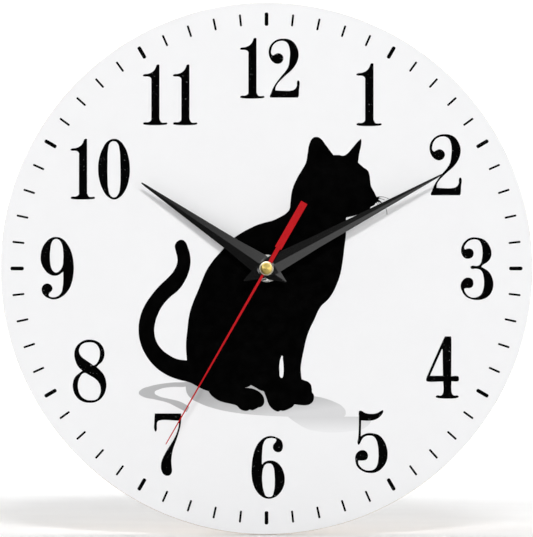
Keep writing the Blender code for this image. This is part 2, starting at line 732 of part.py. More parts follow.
def intermediate_wheel(pinion_phase, wheel_phase):
    wheel_module = gear_module(ROTOR_DISTANCE, ROTOR_TEETH, INTERMEDIATE_TEETH)
    pinion_module = gear_module(INTERMEDIATE_DISTANCE, INTERMEDIATE_PINION_TEETH, SECOND_TEETH)
    axis = INTERMEDIATE_AXIS
    wheel = gear(INTERMEDIATE_TEETH, wheel_module, axis, wheel_phase, INTERMEDIATE_LAYER)
    pinion = gear(INTERMEDIATE_PINION_TEETH, pinion_module, axis, pinion_phase, SECOND_LAYER)
    shaft = arbor(axis, 0.7 * MM, (REAR_BRIDGE[1] + 0.2 * MM, MID_PLATE[0] - 0.2 * MM),
                  (REAR_BRIDGE[0] + 0.1 * MM, MID_PLATE[1] - 0.1 * MM))
    finish(union(wheel, pinion, shaft), "intermediate_wheel",
           make_material("intermediate wheel plastic", (0.78, 0.76, 0.70), 0.4), pivot=axis)


def second_wheel(wheel_phase, pinion_phase):
    """Wheel, pinion and the long steel arbor that carries the second hand."""
    wheel_module = gear_module(INTERMEDIATE_DISTANCE, INTERMEDIATE_PINION_TEETH, SECOND_TEETH)
    pinion_module = gear_module(THIRD_DISTANCE, SECOND_PINION_TEETH, THIRD_TEETH)
    wheel = gear(SECOND_TEETH, wheel_module, CENTRE, wheel_phase, SECOND_LAYER)
    pinion = gear(SECOND_PINION_TEETH, pinion_module, CENTRE, pinion_phase, THIRD_LAYER)
    long_arbor = rod(SECOND_ARBOR_RADIUS, (REAR_BRIDGE[1] + 0.2 * MM, SECOND_HAND[1]), CENTRE, 12)
    tail_pivot = rod(PIVOT_RADIUS, (REAR_BRIDGE[0] + 0.1 * MM, SECOND_LAYER[0]), CENTRE, PIVOT_SIDES)
    collar = rod(0.75 * MM, (SECOND_LAYER[0] - 0.5 * MM, THIRD_LAYER[0] + 0.2 * MM), CENTRE, 12)
    finish(union(wheel, pinion, collar, long_arbor, tail_pivot), "second_wheel",
           make_material("seconds wheel plastic", (0.80, 0.78, 0.72), 0.4))


def third_wheel(wheel_phase, pinion_phase):
    wheel_module = gear_module(THIRD_DISTANCE, SECOND_PINION_TEETH, THIRD_TEETH)
    pinion_module = gear_module(THIRD_DISTANCE, THIRD_PINION_TEETH, CENTRE_TEETH)
    wheel = gear(THIRD_TEETH, wheel_module, THIRD_AXIS, wheel_phase, THIRD_LAYER)
    pinion = gear(THIRD_PINION_TEETH, pinion_module, THIRD_AXIS, pinion_phase,
                  (THIRD_LAYER[1] - 0.2 * MM, CENTRE_LAYER[1]))
    shaft = arbor(THIRD_AXIS, 0.6 * MM, (REAR_BRIDGE[1] + 0.2 * MM, CASE_FLOOR - 0.2 * MM),
                  (REAR_BRIDGE[0] + 0.1 * MM, CASE_FLOOR + 0.6 * MM))
    finish(union(wheel, pinion, shaft), "third_wheel",
           make_material("third wheel plastic", (0.78, 0.76, 0.70), 0.4), pivot=THIRD_AXIS)


def centre_wheel(phase):
    """Wheel that drives the minute tube through a friction fit on its neck."""
    module = gear_module(THIRD_DISTANCE, THIRD_PINION_TEETH, CENTRE_TEETH)
    outline = gear_outline(CENTRE_TEETH, module, CENTRE, phase)
    solid = slab([outline, ring(NECK_RADIUS + FIT, 16)], CENTRE_LAYER)
    finish(solid, "centre_wheel", make_material("centre wheel plastic", (0.79, 0.77, 0.71), 0.4))


def minute_tube(phase):
    """Cannon pinion and the tube that carries the minute hand."""
    pinion = gear(CANNON_TEETH, MINUTE_MODULE, CENTRE, phase, MINUTE_LAYER)
    body = rod(MINUTE_TUBE_RADIUS, (MINUTE_LAYER[0], MINUTE_TUBE_FRONT), sides=24)
    neck = rod(NECK_RADIUS, (CENTRE_LAYER[0] - 0.2 * MM, MINUTE_LAYER[1]), sides=16)
    bore = rod(0.75 * MM, (MID_PLATE[1], MINUTE_TUBE_FRONT + 1 * MM), sides=16)
    finish(cut(union(pinion, body, neck), bore), "minute_tube",
           make_material("minute tube plastic", (0.72, 0.70, 0.64), 0.4))


def minute_wheel(wheel_phase, pinion_phase):
    pinion_module = gear_module(MINUTE_DISTANCE, MINUTE_PINION_TEETH, HOUR_TEETH)
    wheel = gear(MINUTE_TEETH, MINUTE_MODULE, MINUTE_AXIS, wheel_phase, MINUTE_LAYER)
    pinion = gear(MINUTE_PINION_TEETH, pinion_module, MINUTE_AXIS, pinion_phase,
                  (MINUTE_LAYER[1] - 0.2 * MM, HOUR_LAYER[1]))
    bore = rod(0.9 * MM + FIT, (MID_PLATE[1], CASE_FLOOR), MINUTE_AXIS, 16)
    finish(cut(union(wheel, pinion), bore), "minute_wheel",
           make_material("minute wheel plastic", (0.76, 0.74, 0.68), 0.4), pivot=MINUTE_AXIS)


def hour_wheel(phase):
    """Wheel and the tube that carries the hour hand."""
    module = gear_module(MINUTE_DISTANCE, MINUTE_PINION_TEETH, HOUR_TEETH)
    wheel = gear(HOUR_TEETH, module, CENTRE, phase, HOUR_LAYER)
    body = rod(HOUR_TUBE_RADIUS, (HOUR_LAYER[0], HOUR_TUBE_FRONT), sides=32)
    bore = rod(MINUTE_TUBE_RADIUS + 0.2 * MM, (MINUTE_LAYER[1], HOUR_TUBE_FRONT + 1 * MM), sides=24)
    finish(cut(union(wheel, body), bore), "hour_wheel",
           make_material("hour wheel plastic", (0.70, 0.68, 0.62), 0.4))


def setting_knob(phase):
    """Fluted knob, flush with the cover, on a shaft that turns the minute wheel."""
    flutes = 24
    rim = [polar(KNOB_AXIS, (5.5 if k % 2 else 5.1) * MM, math.pi * k / flutes)
           for k in range(2 * flutes)]
    disc = slab([rim], (0.2 * MM, 1.4 * MM))
    slot = box((KNOB_AXIS[0] - 4 * MM, KNOB_AXIS[0] + 4 * MM),
               (KNOB_AXIS[1] - 0.6 * MM, KNOB_AXIS[1] + 0.6 * MM), (0.0, 0.7 * MM))
    shaft = rod(1.3 * MM, (1.2 * MM, MINUTE_LAYER[0] + 0.1 * MM), KNOB_AXIS, 16)
    leaves = gear(KNOB_TEETH, MINUTE_MODULE, KNOB_AXIS, phase, MINUTE_LAYER)
    pivot = rod(PIVOT_RADIUS, (MINUTE_LAYER[0], CASE_FLOOR + 0.6 * MM), KNOB_AXIS, PIVOT_SIDES)
    collar = rod(0.9 * MM, (MINUTE_LAYER[1] - 0.1 * MM, CASE_FLOOR - 0.2 * MM), KNOB_AXIS, 12)
    solid = union(cut(disc, slot), shaft, leaves, pivot, collar)
    finish(solid, "setting_knob", make_material("grey knob plastic", (0.30, 0.30, 0.31), 0.5),
           pivot=KNOB_AXIS)


def gear_train():
    """Every wheel in mesh with its neighbour, each phase worked out from the one before."""
    second_phase = 0.0
    intermediate_phase = phase_in_mesh(
        CENTRE, SECOND_TEETH, second_phase, INTERMEDIATE_AXIS, INTERMEDIATE_PINION_TEETH)
    rotor_phase = phase_in_mesh(
        INTERMEDIATE_AXIS, INTERMEDIATE_TEETH, 0.0, ROTOR_AXIS, ROTOR_TEETH)
    third_phase = phase_in_mesh(CENTRE, SECOND_PINION_TEETH, 0.0, THIRD_AXIS, THIRD_TEETH)
    centre_phase = phase_in_mesh(THIRD_AXIS, THIRD_PINION_TEETH, 0.0, CENTRE, CENTRE_TEETH)
    minute_phase = phase_in_mesh(CENTRE, CANNON_TEETH, 0.0, MINUTE_AXIS, MINUTE_TEETH)
    hour_phase = phase_in_mesh(MINUTE_AXIS, MINUTE_PINION_TEETH, 0.0, CENTRE, HOUR_TEETH)
    knob_phase = phase_in_mesh(MINUTE_AXIS, MINUTE_TEETH, minute_phase, KNOB_AXIS, KNOB_TEETH)
    rotor(rotor_phase)
    intermediate_wheel(intermediate_phase, 0.0)
    second_wheel(second_phase, 0.0)
    third_wheel(third_phase, 0.0)
    centre_wheel(centre_phase)
    minute_tube(0.0)
    minute_wheel(minute_phase, 0.0)
    hour_wheel(hour_phase)
    setting_knob(knob_phase)


clear_scene()
clock = make_collection("cat_tail_clock")
hand_paint = make_material("black hand paint", (0.02, 0.02, 0.02), 0.35)

dial_board()
dial_print()
dial_washer()
fixing_nut()
rubber_gasket()
threaded_bush()
hour_hand(hand_paint)
minute_hand(hand_paint)
second_hand()
second_hand_cap()
movement_case()
back_cover()
mid_plate()
rear_bridge()
stator()
coil_core()
coil_bobbin()
coil_winding()
circuit_board()
quartz_crystal()
chip_cover()
positive_contact()
negative_contact()
battery_cell()
gear_train()
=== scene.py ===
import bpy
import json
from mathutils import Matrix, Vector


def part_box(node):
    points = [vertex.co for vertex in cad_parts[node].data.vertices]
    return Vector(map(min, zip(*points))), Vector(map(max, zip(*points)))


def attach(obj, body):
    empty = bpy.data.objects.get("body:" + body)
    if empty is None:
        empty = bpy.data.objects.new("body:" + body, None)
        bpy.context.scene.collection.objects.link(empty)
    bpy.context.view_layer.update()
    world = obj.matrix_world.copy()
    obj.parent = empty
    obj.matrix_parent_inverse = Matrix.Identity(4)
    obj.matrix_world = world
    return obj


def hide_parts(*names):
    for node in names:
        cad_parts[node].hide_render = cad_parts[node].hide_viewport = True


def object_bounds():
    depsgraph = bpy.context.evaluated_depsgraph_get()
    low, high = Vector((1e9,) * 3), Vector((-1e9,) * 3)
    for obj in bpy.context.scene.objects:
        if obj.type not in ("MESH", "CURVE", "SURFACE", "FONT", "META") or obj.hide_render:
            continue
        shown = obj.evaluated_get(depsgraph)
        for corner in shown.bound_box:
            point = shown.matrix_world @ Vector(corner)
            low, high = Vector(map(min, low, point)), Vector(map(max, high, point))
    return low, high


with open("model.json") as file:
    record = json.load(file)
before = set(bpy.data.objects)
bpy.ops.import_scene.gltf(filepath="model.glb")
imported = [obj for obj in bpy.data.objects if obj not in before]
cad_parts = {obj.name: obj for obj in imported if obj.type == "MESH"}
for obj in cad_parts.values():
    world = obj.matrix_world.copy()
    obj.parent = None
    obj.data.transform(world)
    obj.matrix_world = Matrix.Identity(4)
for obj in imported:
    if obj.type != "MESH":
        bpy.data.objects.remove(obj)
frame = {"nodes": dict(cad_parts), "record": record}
cadBox = [list(corner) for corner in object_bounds()]

import json
import math

import bmesh
import bpy
from mathutils import Matrix, Vector

mm = 0.001
# radius of a closed pole, small enough to weld shut
onAxis = 1e-9
clockBody = "clock_body"
nodeBodies = {node: body for body, nodes in frame["record"]["behaviour"]["bodies"].items() for node in nodes}


# small helpers

def srgb(code):
    parts = [int(code[i:i + 2], 16) / 255 for i in (1, 3, 5)]
    linear = [p / 12.92 if p <= 0.04045 else ((p + 0.055) / 1.055) ** 2.4 for p in parts]
    return (*linear, 1.0)


def grey(value):
    return (value, value, value, 1.0)


def fineness(sizeMm):
    # noise scale that gives features of about this size
    return 1.0 / (sizeMm * mm)


def addNode(tree, kind, settings=None, links=None):
    # settings: node properties and socket values, links: outputs, both by name or socket index
    node = tree.nodes.new(kind)
    for key, value in (settings or {}).items():
        if isinstance(key, str) and hasattr(node, key):
            setattr(node, key, value)
        else:
            node.inputs[key].default_value = value
    for key, output in (links or {}).items():
        tree.links.new(output, node.inputs[key])
    return node


def newMaterial(name, **values):
    material = bpy.data.materials.new(name)
    material.use_nodes = True
    tree = material.node_tree
    shader = tree.nodes["Principled BSDF"]
    sockets = {"rough": "Roughness", "metal": "Metallic", "ior": "IOR", "coat": "Coat Weight",
               "coatRough": "Coat Roughness", "aniso": "Anisotropic", "specular": "Specular IOR Level",
               "scatter": "Subsurface Weight"}
    for key, value in values.items():
        shader.inputs[sockets[key]].default_value = value
    return material, tree, shader


def colorRamp(tree, source, stops):
    ramp = addNode(tree, "ShaderNodeValToRGB", links={"Fac": source})
    elements = ramp.color_ramp.elements
    while len(elements) < len(stops):
        elements.new(0.5)
    for element, (position, color) in zip(elements, stops):
        element.position = position
        element.color = color
    return ramp.outputs["Color"]


def objectCoords(tree, scale=(1, 1, 1)):
    coords = addNode(tree, "ShaderNodeTexCoord")
    return addNode(tree, "ShaderNodeMapping", {"Scale": scale}, {"Vector": coords.outputs["Object"]}).outputs[0]


def noise(tree, vector, sizeMm, detail=3.0, rough=0.5):
    return addNode(tree, "ShaderNodeTexNoise", {"Scale": fineness(sizeMm), "Detail": detail, "Roughness": rough},
                   {"Vector": vector}).outputs["Fac"]


def remap(tree, value, low, high):
    return addNode(tree, "ShaderNodeMapRange", {"To Min": low, "To Max": high}, {"Value": value}).outputs[0]


def bump(tree, shader, height, depthMm, strength=0.5):
    node = addNode(tree, "ShaderNodeBump", {"Distance": depthMm * mm, "Strength": strength}, {"Height": height})
    tree.links.new(node.outputs["Normal"], shader.inputs["Normal"])


def mixColor(tree, factor, first, second):
    return addNode(tree, "ShaderNodeMix", {"data_type": "RGBA"}, {0: factor, 6: first, 7: second}).outputs[2]


def finishPiece(piece, name, body, slot, *nodes):
    piece.name = name
    piece.data.name = name
    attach(piece, body)
    if nodes:
        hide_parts(*nodes)
    return piece


def linked(data, name="piece"):
    piece = bpy.data.objects.new(name, data)
    bpy.context.scene.collection.objects.link(piece)
    return piece


def applied(piece, material, smoothAngle=30):
    # the evaluated shape as one plain mesh, with its place kept in the vertices
    bpy.context.view_layer.update()
    graph = bpy.context.evaluated_depsgraph_get()
    mesh = bpy.data.meshes.new_from_object(piece.evaluated_get(graph))
    mesh.transform(piece.matrix_world)
    bpy.data.objects.remove(piece, do_unlink=True)
    bm = bmesh.new()
    bm.from_mesh(mesh)
    bmesh.ops.remove_doubles(bm, verts=bm.verts, dist=1e-7)
    bmesh.ops.recalc_face_normals(bm, faces=bm.faces)
    bm.to_mesh(mesh)
    bm.free()
    mesh.materials.clear()
    mesh.materials.append(material)
    for face in mesh.polygons:
        face.material_index = 0
    mesh.shade_smooth()
    mesh.set_sharp_from_angle(angle=math.radians(smoothAngle))
    return linked(mesh)


def turnedPiece(profile, sides=96, wave=None, axis="Y"):
    # closed profile of (radius, place) pairs round the axis; wave changes the radius with the angle
    bm = bmesh.new()
    rows = []
    for radius, place in profile:
        row = []
        for k in range(sides):
            angle = 2 * math.pi * k / sides
            reach = radius + (wave(radius, place, angle) if wave else 0)
            row.append(bm.verts.new((reach * math.cos(angle), reach * math.sin(angle), place)))
        rows.append(row)
    for first, second in zip(rows, rows[1:] + rows[:1]):
        for k in range(sides):
            bm.faces.new((first[k], first[k - 1], second[k - 1], second[k]))
    bmesh.ops.remove_doubles(bm, verts=bm.verts, dist=1e-7)
    bmesh.ops.dissolve_degenerate(bm, edges=bm.edges, dist=1e-8)
    # the line left along the axis between two closed poles
    bmesh.ops.delete(bm, geom=[edge for edge in bm.edges if not edge.link_faces], context="EDGES")
    # the profile's places run forwards from the wall, or along X for the battery
    turn = Matrix.Rotation(math.pi / 2, 4, "X") if axis == "Y" else Matrix.Rotation(math.pi / 2, 4, "Y")
    bm.transform(turn)
    bmesh.ops.recalc_face_normals(bm, faces=bm.faces)
    mesh = bpy.data.meshes.new("piece")
    bm.to_mesh(mesh)
    bm.free()
    return linked(mesh)


def roundedCorner(radius, place, soft, outward, forward, steps=4):
    # quarter round at (radius, place) whose centre lies inside the solid
    centre = (radius - outward * soft, place - forward * soft)
    points = []
    for k in range(steps + 1):
        turn = math.pi / 2 * k / steps
        points.append((centre[0] + outward * soft * math.cos(turn), centre[1] + forward * soft * math.sin(turn)))
    return points


def roundedRing(inner, outer, back, front, soft, sides=96):
    profile = roundedCorner(outer, front, soft, 1, 1)
    profile += roundedCorner(inner, front, soft, -1, 1)[::-1]
    profile += roundedCorner(inner, back, soft, -1, -1)
    profile += roundedCorner(outer, back, soft, 1, -1)[::-1]
    return turnedPiece(profile, sides)


def outlineShape(outlines, thickness, smooth=6):
    # filled flat shape from outlines in mm on the dial; a third number marks a sharp corner
    curve = bpy.data.curves.new("outline", "CURVE")
    curve.dimensions = "2D"
    curve.fill_mode = "BOTH"
    curve.extrude = thickness / 2
    curve.resolution_u = smooth
    for outline in outlines:
        spline = curve.splines.new("BEZIER")
        spline.bezier_points.add(len(outline) - 1)
        for knot, point in zip(spline.bezier_points, outline):
            knot.co = (point[0] * mm, point[1] * mm, 0)
            kind = "VECTOR" if len(point) > 2 else "AUTO"
            knot.handle_left_type = kind
            knot.handle_right_type = kind
        spline.use_cyclic_u = True
    shape = linked(curve)
    shape.rotation_euler = (math.pi / 2, 0, 0)
    return shape


def combined(piece, operation, other):
    modifier = piece.modifiers.new("cut", "BOOLEAN")
    modifier.operation = operation
    modifier.solver = "EXACT"
    modifier.object = other
    return piece


def refined(node, bevel, cutters=()):
    # welded copy of a CAD node with its edges softened
    mesh = frame["nodes"][node].data.copy()
    bm = bmesh.new()
    bm.from_mesh(mesh)
    bmesh.ops.remove_doubles(bm, verts=bm.verts, dist=1e-6)
    bmesh.ops.dissolve_limit(bm, angle_limit=math.radians(1), verts=bm.verts, edges=bm.edges)
    bm.to_mesh(mesh)
    bm.free()
    piece = linked(mesh)
    soften = piece.modifiers.new("soften", "BEVEL")
    soften.width = bevel * mm
    soften.segments = 2
    soften.limit_method = "ANGLE"
    soften.angle_limit = math.radians(30)
    soften.use_clamp_overlap = True
    # cut after the softening, so that the marks keep crisp edges
    for cutter in cutters:
        combined(piece, "DIFFERENCE", cutter)
    return piece


# materials

def whiteLaminate():
    # matt film laminated to the board and printed flat: an even bright white with a soft sheen
    material, tree, shader = newMaterial("whiteMattLaminate", ior=1.5, specular=0.3)
    coords = objectCoords(tree)
    tone = noise(tree, coords, 9)
    film = colorRamp(tree, tone, [(0.3, srgb(look["film"])), (0.7, srgb(look["filmLight"]))])
    tree.links.new(film, shader.inputs["Base Color"])
    tree.links.new(remap(tree, noise(tree, coords, 2.5), 0.5, 0.6), shader.inputs["Roughness"])
    bump(tree, shader, noise(tree, coords, 0.5), 0.006, 0.2)
    return material


def blackInk(name, worn):
    # screen-printed ink: dense and slightly satin, with grey pinholes where the film shows through
    material, tree, shader = newMaterial(name, rough=0.7, specular=0.01)
    coords = objectCoords(tree)
    tone = noise(tree, coords, 4)
    ink = colorRamp(tree, tone, [(0.35, srgb("#010101")), (0.75, srgb("#050505"))])
    holes = noise(tree, coords, 0.9, 4, 0.65)
    missed = colorRamp(tree, holes, [(0.64 - worn, grey(0)), (0.70 - worn, grey(1))])
    tree.links.new(mixColor(tree, missed, ink, colorRamp(tree, tone, [(0, srgb("#6f6f70")), (1, srgb("#a8a8a8"))])),
                   shader.inputs["Base Color"])
    bump(tree, shader, holes, 0.004, 0.3)
    return material


def halftoneInk(name, start, end, stops):
    # grey screen tint that fades along a line between two places on the dial, in mm
    material, tree, shader = newMaterial(name, rough=0.6, specular=0.2)
    base = Vector((start[0] * mm, 0, start[1] * mm))
    run = Vector((end[0] * mm, 0, end[1] * mm)) - base
    coords = addNode(tree, "ShaderNodeTexCoord").outputs["Object"]
    offset = addNode(tree, "ShaderNodeVectorMath", {"operation": "SUBTRACT", 1: base}, {0: coords})
    along = addNode(tree, "ShaderNodeVectorMath", {"operation": "DOT_PRODUCT", 1: run / run.length_squared},
                    {0: offset.outputs[0]})
    grain = noise(tree, coords, 0.7)
    spread = addNode(tree, "ShaderNodeMath", {"operation": "MULTIPLY_ADD", 1: 0.05},
                     {0: grain, 2: along.outputs["Value"]})
    tone = colorRamp(tree, spread.outputs[0], [(place, srgb(code)) for place, code in stops])
    tree.links.new(tone, shader.inputs["Base Color"])
    return material


def fibreboard():
    # sawn and sanded medium-density board: tan with fine pressed fibres, quite matt
    material, tree, shader = newMaterial("sandedFibreboard", rough=0.85, specular=0.2)
    fibres = noise(tree, objectCoords(tree, (1, 4, 1)), 1.0, 6, 0.7)
    blotch = noise(tree, objectCoords(tree), 20)
    fine = colorRamp(tree, fibres, [(0.25, srgb("#94754f")), (0.75, srgb("#c3a47c"))])
    broad = colorRamp(tree, blotch, [(0.3, srgb("#a98a63")), (0.7, srgb("#bb9a70"))])
    tree.links.new(mixColor(tree, noise(tree, objectCoords(tree), 6), fine, broad), shader.inputs["Base Color"])
    bump(tree, shader, fibres, 0.06, 0.5)
    return material


def mouldedPlastic(name, dark, light, rough, grainMm=0.6, depthMm=0.01, scatter=0.0):
    # injection-moulded in a lightly etched tool: fine even grain and a small change of tone where it flowed
    material, tree, shader = newMaterial(name, ior=1.5, scatter=scatter)
    coords = objectCoords(tree)
    grain = noise(tree, coords, grainMm)
    flow = colorRamp(tree, noise(tree, coords, 12), [(0.3, srgb(dark)), (0.7, srgb(light))])
    tree.links.new(flow, shader.inputs["Base Color"])
    tree.links.new(remap(tree, grain, rough - 0.06, rough + 0.08), shader.inputs["Roughness"])
    bump(tree, shader, grain, depthMm, 0.4)
    return material


def platedMetal(name, dark, light, rough, scratchMm):
    # plated or rolled metal: bright, with fine tool lines that break up the highlights
    material, tree, shader = newMaterial(name, metal=1.0)
    coords = objectCoords(tree, tuple(0.4 / size for size in scratchMm))
    lines = noise(tree, coords, 0.4, 4, 0.6)
    tone = noise(tree, objectCoords(tree), 3)
    tree.links.new(colorRamp(tree, tone, [(0.3, srgb(dark)), (0.7, srgb(light))]), shader.inputs["Base Color"])
    tree.links.new(remap(tree, lines, rough * 0.8, rough * 1.3), shader.inputs["Roughness"])
    bump(tree, shader, lines, 0.004, 0.3)
    return material


def turnedBrass():
    # cap faced on a lathe, then its bevel polished: circular tool lines fan the light out; the near-white colour of
    # the rim is a painted highlight, not the brass's own colour
    material, tree, shader = newMaterial("turnedBrassPaintedRimHighlight", metal=1.0, aniso=0.8)
    coords = addNode(tree, "ShaderNodeTexCoord").outputs["Object"]
    flat = addNode(tree, "ShaderNodeVectorMath", {"operation": "MULTIPLY", 1: (1, 0, 1)}, {0: coords})
    radius = addNode(tree, "ShaderNodeVectorMath", {"operation": "LENGTH"}, {0: flat.outputs[0]}).outputs["Value"]
    # nothing on the face, all of it on the bevelled rim: the painted highlight and the lower roughness of the polish
    share = addNode(tree, "ShaderNodeMapRange", {"From Min": 2.6 * mm, "From Max": 2.9 * mm}, {"Value": radius})
    lines = addNode(tree, "ShaderNodeCombineXYZ", links={"X": radius})
    tool = noise(tree, lines.outputs[0], 0.12, 2)
    face = colorRamp(tree, tool, [(0.3, srgb("#94803f")), (0.7, srgb("#c9b36c"))])
    # painted highlight: the bevel's colour is lifted to near white so that it reads as brightly lit
    paintedRimHighlight = colorRamp(tree, tool, [(0.3, srgb("#f8efd2")), (0.7, srgb("#fdf6e2"))])
    tree.links.new(mixColor(tree, share.outputs[0], face, paintedRimHighlight), shader.inputs["Base Color"])
    tree.links.new(remap(tree, share.outputs[0], 0.38, 0.28), shader.inputs["Roughness"])
    bump(tree, shader, tool, 0.01, 0.5)
    spin = addNode(tree, "ShaderNodeTangent", {"direction_type": "RADIAL", "axis": "Y"})
    tree.links.new(spin.outputs[0], shader.inputs["Tangent"])
    return material


def sprayPaint(name, dark, light, rough, specular=0.5):
    # stove enamel sprayed on stamped aluminium: satin skin with a faint orange peel
    material, tree, shader = newMaterial(name, ior=1.5, specular=specular, coat=0.04, coatRough=0.3)
    coords = objectCoords(tree)
    tone = noise(tree, coords, 5)
    tree.links.new(colorRamp(tree, tone, [(0.3, srgb(dark)), (0.7, srgb(light))]), shader.inputs["Base Color"])
    tree.links.new(remap(tree, noise(tree, coords, 1.2), rough - 0.02, rough + 0.03), shader.inputs["Roughness"])
    bump(tree, shader, noise(tree, coords, 0.35), 0.002, 0.15)
    return material


def batterySleeve():
    # shrink-wrapped printed sleeve in plain green with a copper end, glossy from the film
    material, tree, shader = newMaterial("batteryShrinkSleeve", ior=1.5, coat=0.4, coatRough=0.12)
    coords = objectCoords(tree)
    along = addNode(tree, "ShaderNodeSeparateXYZ", links={"Vector": coords}).outputs["X"]
    place = addNode(tree, "ShaderNodeMapRange", {"From Min": -24.4 * mm, "From Max": 25.6 * mm}, {"Value": along})
    bands = colorRamp(tree, place.outputs[0], [
        (0.0, srgb("#b4b4b2")), (0.018, srgb("#b4b4b2")), (0.022, srgb("#1f3d26")), (0.70, srgb("#24452b")),
        (0.705, srgb("#b87945")), (0.962, srgb("#a96c3c")), (0.968, srgb("#c2c2c0")), (1.0, srgb("#c9c9c7"))])
    tree.links.new(bands, shader.inputs["Base Color"])
    metal = colorRamp(tree, place.outputs[0], [
        (0.018, grey(1)), (0.022, grey(0)), (0.70, grey(0)), (0.705, grey(0.6)), (0.962, grey(0.6)), (0.97, grey(1))])
    tree.links.new(metal, shader.inputs["Metallic"])
    tree.links.new(remap(tree, noise(tree, coords, 3), 0.25, 0.36), shader.inputs["Roughness"])
    bump(tree, shader, noise(tree, coords, 5), 0.02, 0.2)
    return material


def copperWinding():
    # enamelled copper wire laid side by side: round ridges 0.1 mm apart along the coil
    material, tree, shader = newMaterial("enamelledCopperWinding", metal=1.0, rough=0.3)
    coords = objectCoords(tree)
    turns = addNode(tree, "ShaderNodeTexWave", {"wave_type": "BANDS", "bands_direction": "X", "Distortion": 0.3,
                                                "Scale": 0.31 / (0.1 * mm) / math.pi}, {"Vector": coords})
    tone = noise(tree, coords, 1.5)
    enamel = colorRamp(tree, tone, [(0.3, srgb("#a5552c")), (0.7, srgb("#c97a45"))])
    tree.links.new(enamel, shader.inputs["Base Color"])
    bump(tree, shader, turns.outputs["Fac"], 0.05, 0.7)
    return material


def phenolicBoard():
    # pressed paper and phenolic resin, punched to size: brown with a dull even surface
    material, tree, shader = newMaterial("phenolicCircuitBoard", rough=0.55)
    fibres = noise(tree, objectCoords(tree, (1, 1, 6)), 1.2, 5, 0.6)
    tree.links.new(colorRamp(tree, fibres, [(0.3, srgb("#6d4a22")), (0.7, srgb("#8a6331"))]),
                   shader.inputs["Base Color"])
    bump(tree, shader, fibres, 0.02, 0.4)
    return material


look = dict(film="#e7e7e8", filmLight="#e8e8e9")
filmWhite = whiteLaminate()
numeralInk = blackInk("numeralScreenInk", -0.015)
catInk = blackInk("catScreenInk", -0.2)
boardBrown = fibreboard()
handBlack = sprayPaint("satinBlackHandPaint", "#060606", "#090909", 0.12, 0.42)
handRed = sprayPaint("redHandPaint", "#ae0710", "#b50a15", 0.45, 0.06)
capBrass = turnedBrass()
bushBrass = platedMetal("threadedBrassBush", "#b99342", "#cfaa57", 0.3, (0.3, 0.3, 0.3))
nickel = platedMetal("nickelPlatedBrass", "#8f8e8b", "#a5a4a1", 0.26, (0.3, 0.3, 0.3))
contactSteel = platedMetal("nickelPlatedSpringSteel", "#b2b0ab", "#c9c7c2", 0.3, (0.2, 2.0, 2.0))
softIron = platedMetal("stampedSoftIron", "#8d8b86", "#a3a19b", 0.42, (3.0, 1.0, 0.3))
crystalCan = platedMetal("drawnCrystalCan", "#bdbcba", "#cfcecb", 0.25, (0.3, 0.3, 3.0))
caseBlack = mouldedPlastic("blackPolystyreneCase", "#131314", "#1a1a1b", 0.5, 0.5, 0.02)
gasketBlack = mouldedPlastic("mouldedRubberGasket", "#0f0f0f", "#171717", 0.8, 0.4, 0.02)
knobGrey = mouldedPlastic("greyAbsKnob", "#5b5b5c", "#676768", 0.42)
frameWhite = mouldedPlastic("whiteAcetalPlate", "#d8d8d2", "#e3e3dd", 0.4, scatter=0.05)
wheelIvory = mouldedPlastic("ivoryAcetalWheel", "#d6d2c3", "#e2decf", 0.36, scatter=0.05)
bobbinNylon = mouldedPlastic("naturalNylonBobbin", "#d3d0c4", "#dedbcf", 0.45, scatter=0.08)
magnetFerrite = mouldedPlastic("mouldedFerriteMagnet", "#2c2c2e", "#39393b", 0.6, 0.3, 0.02)
chipEpoxy = mouldedPlastic("pottedEpoxyDrop", "#0b0b0c", "#141415", 0.25, 2.0, 0.03)
sleeve = batterySleeve()
copper = copperWinding()
phenolic = phenolicBoard()


# printed artwork: outlines in mm on the dial, read clockwise from the top, 1 = sharp corner

